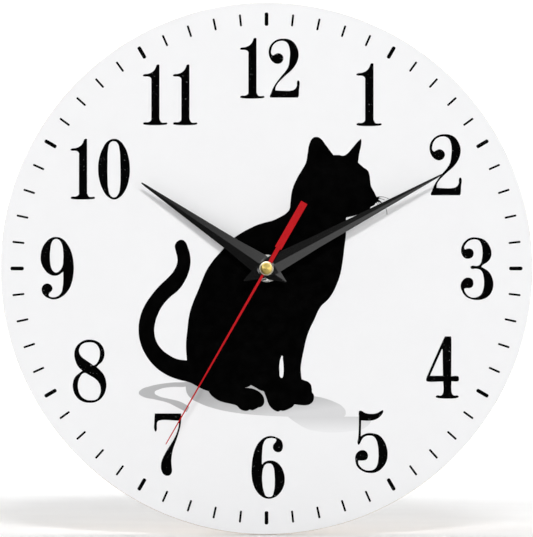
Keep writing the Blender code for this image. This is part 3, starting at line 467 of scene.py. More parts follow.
figures = {
    "0": [[(7.5, 28.5), (9.9, 27.8), (12.3, 25.1), (14.1, 20.6), (14.9, 15.1), (14.5, 9.6), (12.9, 4.6), (10.3, 1.2),
           (7.6, 0), (4.7, 1.2), (2.3, 4.4), (0.6, 9.1), (0, 14.1), (0.5, 19.4), (2.1, 23.9), (4.5, 27.4)],
          [(7.4, 27.4), (9.1, 26.5), (10, 23.6), (10.4, 17.6), (10.5, 11.6), (10.3, 6.1), (9.4, 2.4), (7.6, 1),
           (5.7, 2), (4.8, 4.8), (4.4, 10.6), (4.4, 17.6), (4.7, 23.6), (5.6, 26.6)]],
    "1": [[(6.4, 27.9), (7.6, 28.0), (7.7, 27.5, 1), (7.7, 2.5, 1), (7.9, 2.1), (8.6, 1.0), (10, 0.8), (11.2, 0.8),
           (11.4, 0.4), (11.2, 0), (0.2, 0), (0, 0.5), (0.4, 0.9), (2.6, 1.1), (3.8, 2.0), (3.9, 2.5, 1),
           (3.9, 20.5, 1), (3.9, 21.3), (3.2, 22.2), (2.2, 22.5), (0.4, 22.6), (-0.1, 23.0), (0.4, 23.5),
           (2.4, 23.8), (4.4, 24.7), (5.6, 26.0), (6.2, 27.4)]],
    "2": [[(0, 22.1), (0.6, 24.9), (2.2, 27), (4.4, 28.3), (6.9, 28.7), (9.7, 28.4), (11.9, 27.2), (13.6, 24.9),
           (14.6, 21.8), (14.4, 19.1), (13.4, 16.4), (11.2, 13.4), (8.4, 10.9), (6.2, 8.8), (4.4, 6.8), (3.4, 4.8),
           (3.3, 3.5, 1), (7.4, 3.3), (10.9, 3.4), (12.6, 4), (13.6, 5.3), (13.9, 7.9), (14.2, 8.3), (14.8, 8.2),
           (14.8, 3.6), (14.5, 0.4), (14.2, 0, 1), (0.8, 0, 1), (0.6, 0.4), (1.2, 2.2), (2.4, 5.1), (4, 7.6),
           (6, 10.2), (8.2, 12.8), (9.6, 15.2), (10.2, 18.6), (10.4, 21.6), (10, 24.6), (9.2, 26.4), (7.8, 27.4),
           (5.9, 27.6), (3.9, 27), (2.2, 25.5), (1.3, 23.1), (1.4, 21.2), (2.2, 20.5, 1), (3.2, 21.1), (4.8, 21.6),
           (6.4, 20.9), (7.2, 19.4), (6.7, 17.6), (5.4, 16.6), (3.7, 16.5), (1.8, 17.6), (0.6, 19.4)]],
    "3": [[(0.2, 23.3), (0.8, 25.8), (2.6, 28.1), (4.8, 29.3), (7.3, 29.4), (9.8, 28.9), (12, 27.6), (13.7, 25.1),
           (14.5, 22.2), (14, 19.6), (12.4, 17.7), (10.6, 16.6), (9.7, 15.6, 1), (10.8, 15), (13.1, 13.4),
           (14.8, 10.6), (15.4, 7.4), (14.8, 4.3), (13.1, 1.8), (10.8, 0.5), (7.8, 0), (5, 0.4), (2.3, 1.8),
           (0.6, 4.3), (0, 6.8), (0.7, 8.8), (2.1, 10.2), (3.8, 10.5), (5.4, 9.8), (6, 8), (5.6, 6.4), (4.3, 5.6),
           (2.6, 5.6), (1.7, 5.3, 1), (1.9, 4.2), (3.1, 2.4), (4.6, 1.4), (6, 1.1), (8.1, 1.5), (9.6, 2.6),
           (10.6, 4.8), (11, 7.8), (10.8, 10.8), (10.2, 13), (9.2, 14.2), (8, 14.6), (6.8, 14.7), (5.4, 14.6),
           (4.6, 15.3), (5.4, 16.1), (7, 16), (8.4, 16.2), (9.4, 17.2), (10, 19.3), (10.3, 22.8), (9.8, 25.8),
           (8.8, 27.7), (7.4, 28.4), (5.8, 28.4), (4, 27.8), (2.4, 26.2), (1.7, 24.6), (2, 23.7, 1), (3.2, 24.1),
           (4.6, 24.1), (5.8, 23.2), (6.1, 21.6), (5.4, 20.1), (3.8, 19.4), (2, 19.7), (0.7, 21.2)]],
    "4": [[(8.9, 28.8, 1), (11.6, 28.8, 1), (11.8, 28.4), (11.8, 10.1, 1), (15, 10.1), (15.3, 9.7), (15.2, 7.9),
           (14.9, 7.7), (11.9, 7.7, 1), (11.9, 3.2), (12.2, 1.9), (13, 1.1), (14.9, 1), (15.3, 0.6), (14.9, 0),
           (4.9, 0), (4.5, 0.5), (4.9, 1), (7.2, 1.1), (7.8, 1.8), (8.1, 2.9), (8, 7.6, 1), (0.3, 7.7), (0, 8.2),
           (0.2, 9.4), (0.8, 10.9), (8.6, 28.4)],
          [(7.7, 22.8, 1), (7.9, 10.3, 1), (1.8, 10.3, 1), (7.4, 22.8, 1)]],
    "5": [[(1.8, 29.2), (2.5, 29.3), (4.7, 28.2), (7.2, 27.8), (10.2, 28.2), (12.2, 29.3), (12.9, 29.5), (13.1, 29.1),
           (12.6, 27.8), (11.2, 26.2), (9, 25), (6.7, 24.6), (2.7, 24.7, 1), (2.5, 17.3, 1), (3.8, 18.1),
           (5.6, 18.7), (8, 18.7), (11, 17.8), (13.2, 15.5), (14.7, 12.1), (15.1, 8.5), (14.5, 5.3), (12.7, 2.5),
           (10.2, 0.6), (6.8, 0), (3.6, 0.8), (1, 2.8), (0, 5.4), (0, 8.1), (1, 9.8), (2.7, 10.7), (4.5, 10.5),
           (5.7, 9.1), (5.8, 7.5), (5, 6.2), (3.5, 5.9), (1.4, 5.9, 1), (1.3, 4.9), (2.2, 3.1), (4, 1.7), (6.6, 1.2),
           (8.8, 1.8), (10.1, 3.5), (10.7, 6.1), (10.8, 9.6), (10.5, 13.1), (9.8, 15.5), (8.6, 17.1), (6.8, 17.6),
           (4.8, 17.3), (3.4, 16.3), (2.4, 14.5), (2, 13.7), (1.4, 13.3), (1, 13.9), (1.3, 16.6), (1.5, 19.5),
           (1.6, 26.1), (1.6, 28.7)]],
    "6": [[(0, 14.4), (0.6, 19.7), (2, 24.2), (4, 27.2), (6.5, 29), (9.2, 29.5), (11.6, 28.9), (13.7, 27.7),
           (14.6, 25.9), (14.6, 23.8), (13.8, 22.3), (12.2, 21.9), (10.7, 22.6), (10, 24), (10.3, 25.5),
           (11.4, 26.9), (11.5, 27.9), (10.4, 28.4), (8.5, 28.5), (6.7, 27.8), (5.5, 25.7), (5, 22.2), (4.9, 16.4),
           (5, 16.1, 1), (5.7, 17), (7, 17.7), (8.7, 18), (11.2, 17.5), (13.5, 15.6), (15.1, 12.4), (15.6, 8.9),
           (15, 5.7), (13, 2.4), (10.6, 0.6), (8, 0), (5.2, 0.8), (2.6, 3.2), (0.8, 6.7), (0, 11.2)],
          [(8.1, 16.6), (9.4, 16.3), (10.3, 14.8), (10.8, 11.2), (10.9, 7.7), (10.5, 3.7), (9.5, 1.2), (8.2, 0.9),
           (6.8, 1.3), (5.8, 3.4), (5.1, 7.2), (5, 11.2), (5.6, 14.7), (6.6, 16.2)]],
    "7": [[(0.2, 29.3, 1), (12.5, 29.3, 1), (12.6, 28.9), (12.5, 24.9), (11.9, 21.9), (11.2, 19.4), (10.2, 16.4),
           (9.1, 13.4), (8.3, 10.1), (8, 6.9), (8.2, 3.9), (8.3, 2.1), (7.5, 0.5), (6.1, 0), (4.5, 0.6), (3.4, 2.4),
           (3.1, 4.9), (3.6, 7.4), (4.9, 10.2), (6.5, 12.9), (8.1, 15.4), (9.7, 18.2), (10.9, 21.2), (11.5, 23.9),
           (11.4, 25.9, 1), (2.4, 26), (1.5, 25.4), (1.2, 23.9), (1.1, 21.4), (0.6, 20.8), (0.1, 21.4), (0, 25.4)]],
    "8": [[(8, 29.7), (11, 29.1), (13.4, 27.3), (14.7, 24.6), (14.8, 21.9), (13.7, 19.3), (12, 17.7), (11.2, 16.8, 1),
           (12.6, 15.5), (14.6, 13.1), (15.7, 9.6), (15.6, 6.6), (14.2, 3.1), (11.5, 0.7), (8, 0), (4.2, 0.8),
           (1.5, 3.1), (0.1, 6.6), (0.1, 9.6), (1.2, 12.3), (3, 13.9), (4.5, 15.1, 1), (2.6, 16.9), (1.2, 19.8),
           (0.7, 23.1), (1.5, 26.1), (3.5, 28.3), (6, 29.5)],
          [(7.5, 28.4), (10.4, 27.9), (12.1, 26.1), (12.7, 23.1), (12, 19.8), (10.5, 17.9), (9.7, 17.6), (8.6, 18.4),
           (6.4, 19.9), (4, 21.8), (3, 23.6), (3.1, 25.6), (4.4, 27.5)],
          [(5.8, 14), (7.5, 13.1), (10.5, 11.3), (12.3, 9.3), (13.1, 6.6), (12.7, 3.8), (11.2, 1.7), (8.8, 1.2),
           (6, 1.6), (3.8, 3.3), (2.5, 6.6), (2.6, 10.1), (3.6, 12.5), (4.8, 13.8)]],
    "9": [[(7.4, 29.3), (10.1, 28.5), (12.7, 25.7), (14.6, 21.7), (15.5, 16.5), (15.5, 13), (14.5, 7.5), (12.6, 3.7),
           (9.9, 1.2), (6.8, 0), (4.3, 0.3), (1.6, 1.9), (0.5, 4.2), (0.9, 6.2), (2.3, 7.3), (3.9, 7.3), (5.2, 6.2),
           (5.5, 4.8), (5, 3.8), (3.9, 2.6), (3.9, 1.7), (4.9, 1.1), (6.3, 1), (8.2, 1.6), (9.7, 3.2), (10.3, 5.5),
           (10.6, 8.5), (10.6, 13, 1), (9.7, 12.3), (8.3, 11.4), (6.5, 11.1), (4.1, 11.8), (1.9, 13.9), (0.3, 17),
           (0, 20.5), (0.8, 24.1), (2.5, 26.9), (4.8, 28.8)],
          [(7.3, 28.4), (8.9, 27.7), (10.1, 25.5), (10.6, 22), (10.6, 18.5), (10.2, 15.5), (8.9, 13.5), (7.3, 12.6),
           (5.9, 13.3), (4.9, 15.1), (4.4, 18.5), (4.5, 23), (5.1, 26.5), (5.9, 27.8)]],
}

# hour: figure, left foot across and up on the dial, size
numerals = {
    "12": [("1", -12.4, 80.2, 1), ("2", 1.0, 80.3, 0.965)],
    "1": [("1", 42.3, 67.3, 1.035)], "2": [("2", 76.6, 34.4, 1)], "3": [("3", 91.2, -14.8, 1)],
    "4": [("4", 75.0, -60.7, 1)], "5": [("5", 41.8, -96.1, 1)], "6": [("6", -7.0, -108.2, 1)],
    "7": [("7", -52.7, -97.4, 1)], "8": [("8", -91.0, -63.1, 1)], "9": [("9", -106.1, -14.5, 1)],
    "10": [("1", -92.0, 32.8, 1), ("0", -79.1, 32.4, 1)],
    "11": [("1", -58.0, 67.7, 1), ("1", -43.9, 67.7, 1)],
}

catOutline = [
    # ears and crown
    (14.8, 43.2), (16.5, 46), (18.6, 50), (19.3, 54), (20.2, 58.6), (21.8, 61.3), (23.5, 61.8), (25.2, 61.2),
    (28, 57.8), (31.4, 53.3, 1), (34, 53.3), (36.2, 53), (38, 54), (40, 56.2), (42.5, 59.2), (44.4, 61, 1),
    (44.6, 59.5), (43.6, 54), (43, 49.8, 1),
    # face
    (45.5, 47.6), (47.6, 46), (48.4, 44), (48.7, 41.5), (49.2, 38.5), (50.3, 36.5), (51.3, 34.5), (51.9, 33.2),
    (51.9, 32), (51.5, 31), (50.6, 29.8), (49, 28.9), (48.3, 27.7), (46.5, 26.8), (44.5, 26), (41.5, 24.9),
    (37.4, 23.9, 1),
    # chest and forelegs
    (37.2, 20), (37.3, 16), (36.6, 10), (35.6, 2), (34.6, -3), (33, -7.5), (30.8, -12), (28.5, -15), (26, -17.3),
    (24.5, -19.5), (22.5, -24), (20.3, -28.5), (18.6, -33.5), (17.5, -38.5), (16.5, -43.5), (16.1, -47),
    (16.5, -52, 1),
    # front paws
    (18, -52.6), (19.5, -53.2), (20.8, -54.5), (21.3, -56.5), (21.4, -58), (22.2, -59.3), (22.3, -60.8),
    (21.8, -62.5), (20.5, -63.7), (19, -64.2), (16, -64.2), (13.2, -63.8, 1), (12.2, -65), (10.5, -66), (9, -66.6),
    (7.4, -66.9), (6.6, -66.7, 1), (5.6, -67.2), (4, -66.8), (2, -65.2), (0.8, -63.3), (0.2, -61.5), (-0.6, -59.3),
    (-1.3, -57.7, 1), (-3, -57.2), (-5, -56), (-7.3, -54.8, 1), (-8.8, -55.7), (-10.3, -56, 1),
    # hind paw
    (-7, -56.3), (-4.4, -57.3), (-2.6, -58.6), (-1.4, -60.3), (-1, -62), (-1.2, -63.5), (-2.2, -64.8), (-4, -65.4),
    (-5.4, -66.2), (-7, -66.6), (-7.9, -66.3, 1), (-8.8, -66.8), (-10.2, -66.9), (-12.5, -66), (-13.8, -64.6),
    (-16, -63.8), (-20, -62.9), (-23, -61.8), (-26, -59.5), (-27.3, -57.6, 1), (-29.5, -56.9), (-31.6, -55.9),
    # tail, outside then inside
    (-36, -53.6), (-42, -52), (-47.5, -49.7), (-52.5, -46), (-56.8, -40.5), (-59.2, -35), (-60.1, -29),
    (-59.4, -23), (-57.3, -17.5), (-54, -12.5), (-50, -7.8), (-46.5, -4.5), (-43.5, -1), (-42, 2.5), (-41.9, 5),
    (-42.6, 8), (-43, 11), (-41.8, 12.8), (-40, 13.5), (-38.4, 12.8), (-36.8, 9.5), (-35.8, 5.5), (-35.8, 1.5),
    (-36.8, -2.5), (-38.7, -6.5), (-41.5, -10.3), (-45, -13.2), (-48.5, -17), (-51, -21.5), (-52.4, -26),
    (-52.7, -30), (-51.8, -34), (-49.5, -37.6), (-46, -40.5), (-42, -42.5), (-37.4, -43.2, 1),
    # back and nape
    (-37.8, -36), (-37.2, -29), (-36.2, -21.5), (-34.5, -16), (-32, -10), (-30, -5), (-28.5, -1.5), (-26, 2.5),
    (-20.3, 9.2), (-15.7, 14), (-12, 16.6), (-8, 18.8), (-4, 20.6), (0, 21.8), (3, 22.6), (6, 24), (9, 25.8),
    (10.8, 27.9), (11.2, 30.6), (12.1, 36.9),
]
legSlit = [(7.3, -41), (7.7, -42.5), (7.7, -50.8), (7.2, -51.4), (6.5, -51), (6.1, -48.5), (6.2, -44), (6.7, -42)]
whiskers = [
    [(51.6, 33.2), (53.9, 33.7), (55.7, 33.4), (57.5, 32.7)], [(51.6, 32.9), (53.6, 32.8), (55.7, 32.1)],
    [(51.6, 32.6), (53.0, 32.0), (54.2, 30.8)], [(51.4, 31.9), (52.5, 31.1), (53.2, 29.6)],
    [(51.3, 31.5), (52.0, 30.5), (52.3, 29.6)], [(51.6, 32.3), (54.6, 30.2), (56.3, 27.6), (56.6, 25.3)],
]

# ground shade under the cat: tail loop, body, and the pale patch in front of it
tailShade = [(-33, -54.2), (-40, -53.5), (-48, -54), (-55, -55.4), (-59, -57), (-60, -58.5), (-58.5, -60),
             (-52, -61.6), (-46, -63.2), (-43, -64.7), (-37.5, -67.5, 1), (-36.2, -65, 1), (-40.5, -62.6),
             (-46, -61.2), (-51, -59.8), (-52.6, -58.3), (-50.5, -56.8), (-45, -55.7), (-38, -55.5)]
bodyShade = [(-37.5, -54.6), (-37.8, -57), (-36, -60.5), (-32, -63), (-25, -65.6), (-15, -67.7), (-5, -68.8),
             (5, -69.4), (15, -69.7), (25, -69.9), (33, -69.9), (36.6, -69.4), (37.2, -67.3), (35.6, -64.8),
             (31.5, -62.5), (26.5, -60.8), (21, -59.8, 1), (14, -56, 1), (-20, -54, 1)]
farShade = [(10, -69.6, 1), (13.5, -72.2), (17.5, -74.6), (21.5, -76.1), (42, -76.1), (46, -75), (49, -72),
            (49.5, -69.6, 1)]


# dial

def buildDial():
    dial = dict(hole=4.3 * mm, boardEdge=0.5 * mm, filmEdge=0.08 * mm, sides=256)
    low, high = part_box("dial_board")
    board = roundedRing(dial["hole"], high.x, -high.y, -low.y, dial["boardEdge"], dial["sides"])
    finishPiece(applied(board, boardBrown), "dialBoard", clockBody, "board", "dial_board")
    low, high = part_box("dial_print")
    film = roundedRing(dial["hole"], high.x, -high.y, -low.y, dial["filmEdge"], dial["sides"])
    finishPiece(applied(film, filmWhite), "dialFilm", clockBody, "print", "dial_print")


ink = dict(thickness=0.02 * mm, overShade=0.03 * mm, gap=0.01 * mm)


def inkFace():
    # depth of the film's face, where ink starts
    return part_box("dial_print")[0].y - ink["gap"]


def printed(outlines, name, material, lift=0.0, smooth=6):
    shape = outlineShape(outlines, ink["thickness"], smooth)
    shape.location = (0, inkFace() - ink["thickness"] / 2 - lift, 0)
    return finishPiece(applied(shape, material), name, clockBody, "print")


def whiskerOutlines():
    # each a fine curved stroke that tapers away from the muzzle
    width = dict(root=0.16, tip=0.05)
    strokes = []
    for points in whiskers:
        left, right = [], []
        for k, point in enumerate(points):
            before, after = points[max(k - 1, 0)], points[min(k + 1, len(points) - 1)]
            along = Vector((after[0] - before[0], after[1] - before[1])).normalized()
            half = width["root"] + (width["tip"] - width["root"]) * k / (len(points) - 1)
            left.append((point[0] - along.y * half, point[1] + along.x * half))
            right.append((point[0] + along.y * half, point[1] - along.x * half))
        strokes.append(left + right[::-1])
    return strokes


def buildPrint():
    for hour, parts in numerals.items():
        outlines = [[(p[0] * size + x, p[1] * size + z, *p[2:]) for p in outline]
                    for figure, x, z, size in parts for outline in figures[figure]]
        printed(outlines, "numeral" + hour, numeralInk, ink["overShade"])
    bodyInk = halftoneInk("bodyShadeHalftone", (0, -56), (2, -70),
                          [(0, "#a8a8a9"), (0.28, "#b1b1b2"), (0.7, "#bebebf"), (1, "#cececf")])
    tailInk = halftoneInk("tailShadeHalftone", (-60, -58), (-34, -62), [(0, "#b0b0b1"), (1, "#aaaaab")])
    farInk = halftoneInk("farShadeHalftone", (30, -69.5), (30, -76.5), [(0, "#cbcbcc"), (1, "#e2e2e3")])
    printed([tailShade], "tailShade", tailInk)
    printed([bodyShade], "bodyShade", bodyInk, 0.004 * mm)
    printed([farShade], "farShade", farInk)
    printed([catOutline, legSlit], "catSilhouette", catInk, ink["overShade"], 8)
    whiskerInk = blackInk("whiskerInk", 0.02)
    for number, stroke in enumerate(whiskerOutlines(), 1):
        printed([stroke], "whisker%d" % number, whiskerInk, ink["overShade"])


def tickTree():
    # marks set round a circle in steps, with some places left out for a second kind of mark
    tree = bpy.data.node_groups.new("radialTicks", "GeometryNodeTree")
    for name, kind in (("Geometry", "Geometry"), ("Count", "Int"), ("Group", "Int"), ("First", "Int"),
                       ("Step", "Float"), ("Radius", "Float"), ("Length", "Float"), ("Width", "Float"),
                       ("Thickness", "Float"), ("Material", "Material")):
        tree.interface.new_socket(name=name, in_out="INPUT", socket_type="NodeSocket" + kind)
    tree.interface.new_socket(name="Geometry", in_out="OUTPUT", socket_type="NodeSocketGeometry")
    given = addNode(tree, "NodeGroupInput").outputs

    def maths(operation, first, second=None):
        node = addNode(tree, "ShaderNodeMath", {"operation": operation}, {0: first})
        if isinstance(second, float):
            node.inputs[1].default_value = second
        elif second is not None:
            tree.links.new(second, node.inputs[1])
        return node.outputs[0]

    index = addNode(tree, "GeometryNodeInputIndex").outputs[0]
    skipped = maths("ADD", maths("FLOOR", maths("DIVIDE", index, given["Group"])), given["First"])
    turn = maths("MULTIPLY", maths("ADD", index, skipped), given["Step"])
    place = addNode(tree, "ShaderNodeCombineXYZ", links={
        "X": maths("MULTIPLY", maths("SINE", turn), given["Radius"]),
        "Z": maths("MULTIPLY", maths("COSINE", turn), given["Radius"])})
    points = addNode(tree, "GeometryNodePoints", links={"Count": given["Count"], "Position": place.outputs[0]})
    bar = addNode(tree, "GeometryNodeCurvePrimitiveQuadrilateral",
                  links={"Width": given["Width"], "Height": given["Length"]})
    ends = addNode(tree, "GeometryNodeFilletCurve", {"mode": "POLY", "Count": 3},
                   {"Curve": bar.outputs[0], "Radius": maths("MULTIPLY", given["Width"], 0.4)})
    flat = addNode(tree, "GeometryNodeFillCurve", links={"Curve": ends.outputs[0]})
    raised = addNode(tree, "GeometryNodeExtrudeMesh", {"Individual": False},
                     {"Mesh": flat.outputs[0], "Offset Scale": given["Thickness"]})
    under = addNode(tree, "GeometryNodeFlipFaces", links={"Mesh": flat.outputs[0]})
    whole = addNode(tree, "GeometryNodeJoinGeometry")
    tree.links.new(raised.outputs[0], whole.inputs[0])
    tree.links.new(under.outputs[0], whole.inputs[0])
    upright = addNode(tree, "GeometryNodeTransform", {"Rotation": (math.pi / 2, 0, 0)},
                      {"Geometry": whole.outputs[0]})
    spun = addNode(tree, "ShaderNodeCombineXYZ", links={"Y": turn})
    marks = addNode(tree, "GeometryNodeInstanceOnPoints", links={
        "Points": points.outputs[0], "Instance": upright.outputs[0], "Rotation": spun.outputs[0]})
    real = addNode(tree, "GeometryNodeRealizeInstances", links={"Geometry": marks.outputs[0]})
    inked = addNode(tree, "GeometryNodeSetMaterial",
                    links={"Geometry": real.outputs[0], "Material": given["Material"]})
    addNode(tree, "NodeGroupOutput", links={"Geometry": inked.outputs[0]})
    return tree


def buildTicks():
    tree = tickTree()
    minuteStep, hourStep = 2 * math.pi / 60, 2 * math.pi / 12
    rows = {
        "minuteTicks": dict(Count=48, Group=4, First=1, Step=minuteStep, Radius=117.2 * mm, Length=5.6 * mm,
                            Width=0.98 * mm),
        "hourTicks": dict(Count=12, Group=12, First=0, Step=hourStep, Radius=117.15 * mm, Length=6.3 * mm,
                          Width=1.75 * mm),
    }
    tickInk = blackInk("tickScreenInk", -0.01)
    for name, row in rows.items():
        piece = linked(bpy.data.meshes.new("ticks"))
        modifier = piece.modifiers.new("ticks", "NODES")
        modifier.node_group = tree
        wanted = dict(row, Thickness=ink["thickness"], Material=tickInk)
        for item in tree.interface.items_tree:
            if item.in_out == "INPUT" and item.name in wanted:
                modifier[item.identifier] = wanted[item.name]
        piece.location = (0, inkFace(), 0)
        finishPiece(applied(piece, tickInk), name, clockBody, "print")


# hands and the parts on the shaft

def buildHands():
    hands = {
        "hour_hand": ("hourHand", handBlack, "hand_black", 0.06),
        "minute_hand": ("minuteHand", handBlack, "hand_black", 0.06),
        "second_hand": ("secondHand", handRed, "hand_red", 0.05),
    }
    for node, (name, material, slot, bevel) in hands.items():
        piece = applied(refined(node, bevel), material, 5)
        finishPiece(piece, name, nodeBodies[node], slot, node)


def buildCap():
    low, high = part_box("second_hand_cap")
    cap = dict(radius=high.x, front=-low.y, back=-high.y, rimBack=32.8 * mm, boreEnd=33.5 * mm, face=2.72 * mm,
               bevel=0.6 * mm, crown=0.15 * mm, groove=0.06 * mm, tube=1.0 * mm, bore=0.58 * mm, lip=0.12 * mm,
               soft=0.06 * mm, rings=7)
    # face turned as a very shallow cone, a fine groove, then the bevelled rim
    profile = [(onAxis, cap["front"] - cap["groove"])]
    for k in range(1, cap["rings"]):
        share = k / cap["rings"]
        profile.append((cap["face"] * share, cap["front"] - cap["crown"] * share - cap["groove"]))
    edge = cap["front"] - cap["crown"]
    profile += [(cap["face"] * 0.985, edge - 2 * cap["groove"]), (cap["face"] * 1.01, edge - cap["groove"] * 0.2),
                (cap["face"] * 1.03, edge - 0.02 * mm), (cap["radius"] - cap["soft"], edge - cap["bevel"] * 0.92),
                (cap["radius"], edge - cap["bevel"] - cap["soft"]), (cap["radius"], cap["rimBack"] + cap["lip"]),
                (cap["radius"] - cap["lip"], cap["rimBack"]), (cap["tube"], cap["rimBack"]),
                (cap["tube"], cap["back"]), (cap["bore"], cap["back"]), (cap["bore"], cap["boreEnd"]),
                (onAxis, cap["boreEnd"])]
    finishPiece(applied(turnedPiece(profile), capBrass, 12), "secondHandCap", nodeBodies["second_hand_cap"],
                "cap_brass", "second_hand_cap")


def buildFixing():
    ring = dict(inner=4.16 * mm, outer=6.5 * mm, back=22.0 * mm, front=22.4 * mm, soft=0.1 * mm)
    washer = roundedRing(**ring)
    finishPiece(applied(washer, nickel), "dialWasher", clockBody, "nickel", "dial_washer")
    ring = dict(inner=6.4 * mm, outer=14.0 * mm, back=16.3 * mm, front=17.0 * mm, soft=0.25 * mm)
    gasket = roundedRing(**ring)
    finishPiece(applied(gasket, gasketBlack), "rubberGasket", clockBody, "gasket", "rubber_gasket")
    # corners of the nut turned off at 30 degrees on both faces
    low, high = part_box("fixing_nut")
    chamfer = dict(reach=high.x + 0.2 * mm, flat=5.5 * mm, angle=math.radians(30))
    reach, flat, back, front = chamfer["reach"], chamfer["flat"], -high.y, -low.y
    drop = (reach - flat) * math.tan(chamfer["angle"])
    turned = turnedPiece([(flat, front), (reach, front - drop), (reach, back + drop), (flat, back),
                          (onAxis, back), (onAxis, front)])
    nut = refined("fixing_nut", 0.08)
    combined(nut, "INTERSECT", turned)
    # the corners are turned off before the edges are softened
    nut.modifiers.move(1, 0)
    piece = applied(nut, nickel)
    bpy.data.objects.remove(turned, do_unlink=True)
    finishPiece(piece, "fixingNut", clockBody, "nickel", "fixing_nut")


def buildBush():
    low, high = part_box("threaded_bush")
    thread = dict(pitch=0.75 * mm, depth=0.22 * mm, start=17.2 * mm, end=26.0 * mm, rows=8)
    outer, bore, shoulder = 4.0 * mm, 2.75 * mm, (16.2 * mm, 17.1 * mm)
    back, front = -high.y, -low.y
    profile = [(bore, back), (outer, back), (outer, shoulder[0]), (high.x, shoulder[0]), (high.x, shoulder[1]),
               (outer, shoulder[1])]
    count = int((thread["end"] - thread["start"]) / thread["pitch"] * thread["rows"])
    profile += [(outer, thread["start"] + k * thread["pitch"] / thread["rows"]) for k in range(count + 1)]
    profile += [(outer - 0.4 * mm, front), (bore, front)]

    def helix(radius, place, angle):
        if radius != outer or not thread["start"] <= place <= thread["end"]:
            return 0
        phase = (place / thread["pitch"] - angle / (2 * math.pi)) % 1
        return -thread["depth"] * abs(2 * phase - 1)

    piece = applied(turnedPiece(profile, 64, helix), bushBrass, 40)
    finishPiece(piece, "threadedBush", clockBody, "bush", "threaded_bush")


# movement, seen from behind

def recessedMarks():
    # plain polarity signs by the battery and a two-way arrow over the setting knob, sunk into the cover
    # twice the depth of the recess, since half of the cutter stands outside the cover
    sink = 1.0 * mm
    # inner corners a hair off the arms' lines, so that the fill has no corner halfway along an edge
    plus = [(21.2, -8.4, 1), (22.0, -8.4, 1), (22.0, -7.62, 1), (22.8, -7.6, 1), (22.8, -6.8, 1), (22.0, -6.78, 1),
            (22.0, -6.0, 1), (21.2, -6.0, 1), (21.2, -6.78, 1), (20.4, -6.8, 1), (20.4, -7.6, 1), (21.2, -7.62, 1)]
    minus = [(-22.8, -7.6, 1), (-20.4, -7.6, 1), (-20.4, -6.8, 1), (-22.8, -6.8, 1)]
    arc = dict(across=-14.4157, up=8.3229, inner=7.6, outer=8.5, spread=math.radians(38), steps=8,
               head=1.2, point=0.22)
    sides = []
    for radius, order in ((arc["outer"], 1), (arc["inner"], -1)):
        for k in range(arc["steps"] + 1):
            turn = order * arc["spread"] * (2 * k / arc["steps"] - 1)
            sides.append((arc["across"] + radius * math.sin(turn), arc["up"] + radius * math.cos(turn), 1))
        # a head at each end of the arc
        middle, head = (arc["inner"] + arc["outer"]) / 2, order * arc["head"]
        edge, tip = order * arc["spread"], order * (arc["spread"] + arc["point"])
        for radius, angle in ((middle + head, edge), (middle, tip), (middle - head, edge)):
            sides.append((arc["across"] + radius * math.sin(angle), arc["up"] + radius * math.cos(angle), 1))
    return outlineShape([plus, minus, sides], sink, 1)


def buildMovement():
    low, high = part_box("battery_cell")
    case = applied(refined("movement_case", 0.25), caseBlack)
    finishPiece(case, "movementCase", clockBody, "case_black", "movement_case")
    marks = applied(recessedMarks(), caseBlack)
    cover = applied(refined("back_cover", 0.12, cutters=[marks]), caseBlack)
    bpy.data.objects.remove(marks, do_unlink=True)
    finishPiece(cover, "backCover", clockBody, "case_black", "back_cover")
    finishPiece(applied(refined("setting_knob", 0.08), knobGrey), "settingKnob", "knob", "knob_grey", "setting_knob")
    for node in ("positive_contact", "negative_contact"):
        name = "positiveContact" if node.startswith("positive") else "negativeContact"
        finishPiece(applied(refined(node, 0.04), contactSteel), name, clockBody, "contact", node)
    # cell: rolled shoulders, raised positive end, slightly dished negative end
    cell = dict(radius=(high.z - low.z) / 2, start=low.x, end=24.6 * mm, nub=high.x, nubRadius=2.7 * mm,
                roll=0.8 * mm, nubRoll=0.3 * mm, dish=0.25 * mm, dishInner=4.6 * mm, dishOuter=5.0 * mm)
    body = roundedCorner(cell["radius"], cell["end"], cell["roll"], 1, 1)
    body += [(cell["nubRadius"] + cell["nubRoll"], cell["end"])]
    body += roundedCorner(cell["nubRadius"], cell["nub"], cell["nubRoll"], 1, 1)
    body += [(onAxis, cell["nub"]), (onAxis, cell["start"] + cell["dish"]),
             (cell["dishInner"], cell["start"] + cell["dish"]), (cell["dishOuter"], cell["start"])]
    body += roundedCorner(cell["radius"], cell["start"], cell["roll"], 1, -1)[::-1]
    battery = turnedPiece(body, 96, axis="X")
    battery.location = (0, (low.y + high.y) / 2, (low.z + high.z) / 2)
    finishPiece(applied(battery, sleeve), "batteryCell", "battery", "battery", "battery_cell")


innerFinishes = {
    "mid_plate": frameWhite, "rear_bridge": frameWhite, "stator": softIron, "coil_core": softIron,
    "coil_bobbin": bobbinNylon, "coil_winding": copper, "circuit_board": phenolic, "quartz_crystal": crystalCan,
    "chip_cover": chipEpoxy, "rotor_magnet": magnetFerrite, "rotor_pinion": wheelIvory,
    "intermediate_wheel": wheelIvory, "third_wheel": wheelIvory, "centre_wheel": wheelIvory,
    "minute_tube": wheelIvory, "minute_wheel": wheelIvory, "hour_wheel": wheelIvory, "second_wheel": wheelIvory,
}


def finishInnerNodes():
    for node, material in innerFinishes.items():
        mesh = frame["nodes"][node].data
        mesh.materials.clear()
        mesh.materials.append(material)
        for face in mesh.polygons:
            face.material_index = 0


# stage

def plainMaterial(name, code, rough):
    # painted studio surface: even, with a trace of roller texture
    material, tree, shader = newMaterial(name, rough=rough, specular=0.1)
    tone = noise(tree, objectCoords(tree), 60)
    tree.links.new(colorRamp(tree, tone, [(0.3, srgb(code)), (0.7, srgb("#ffffff"))]), shader.inputs["Base Color"])
    return material


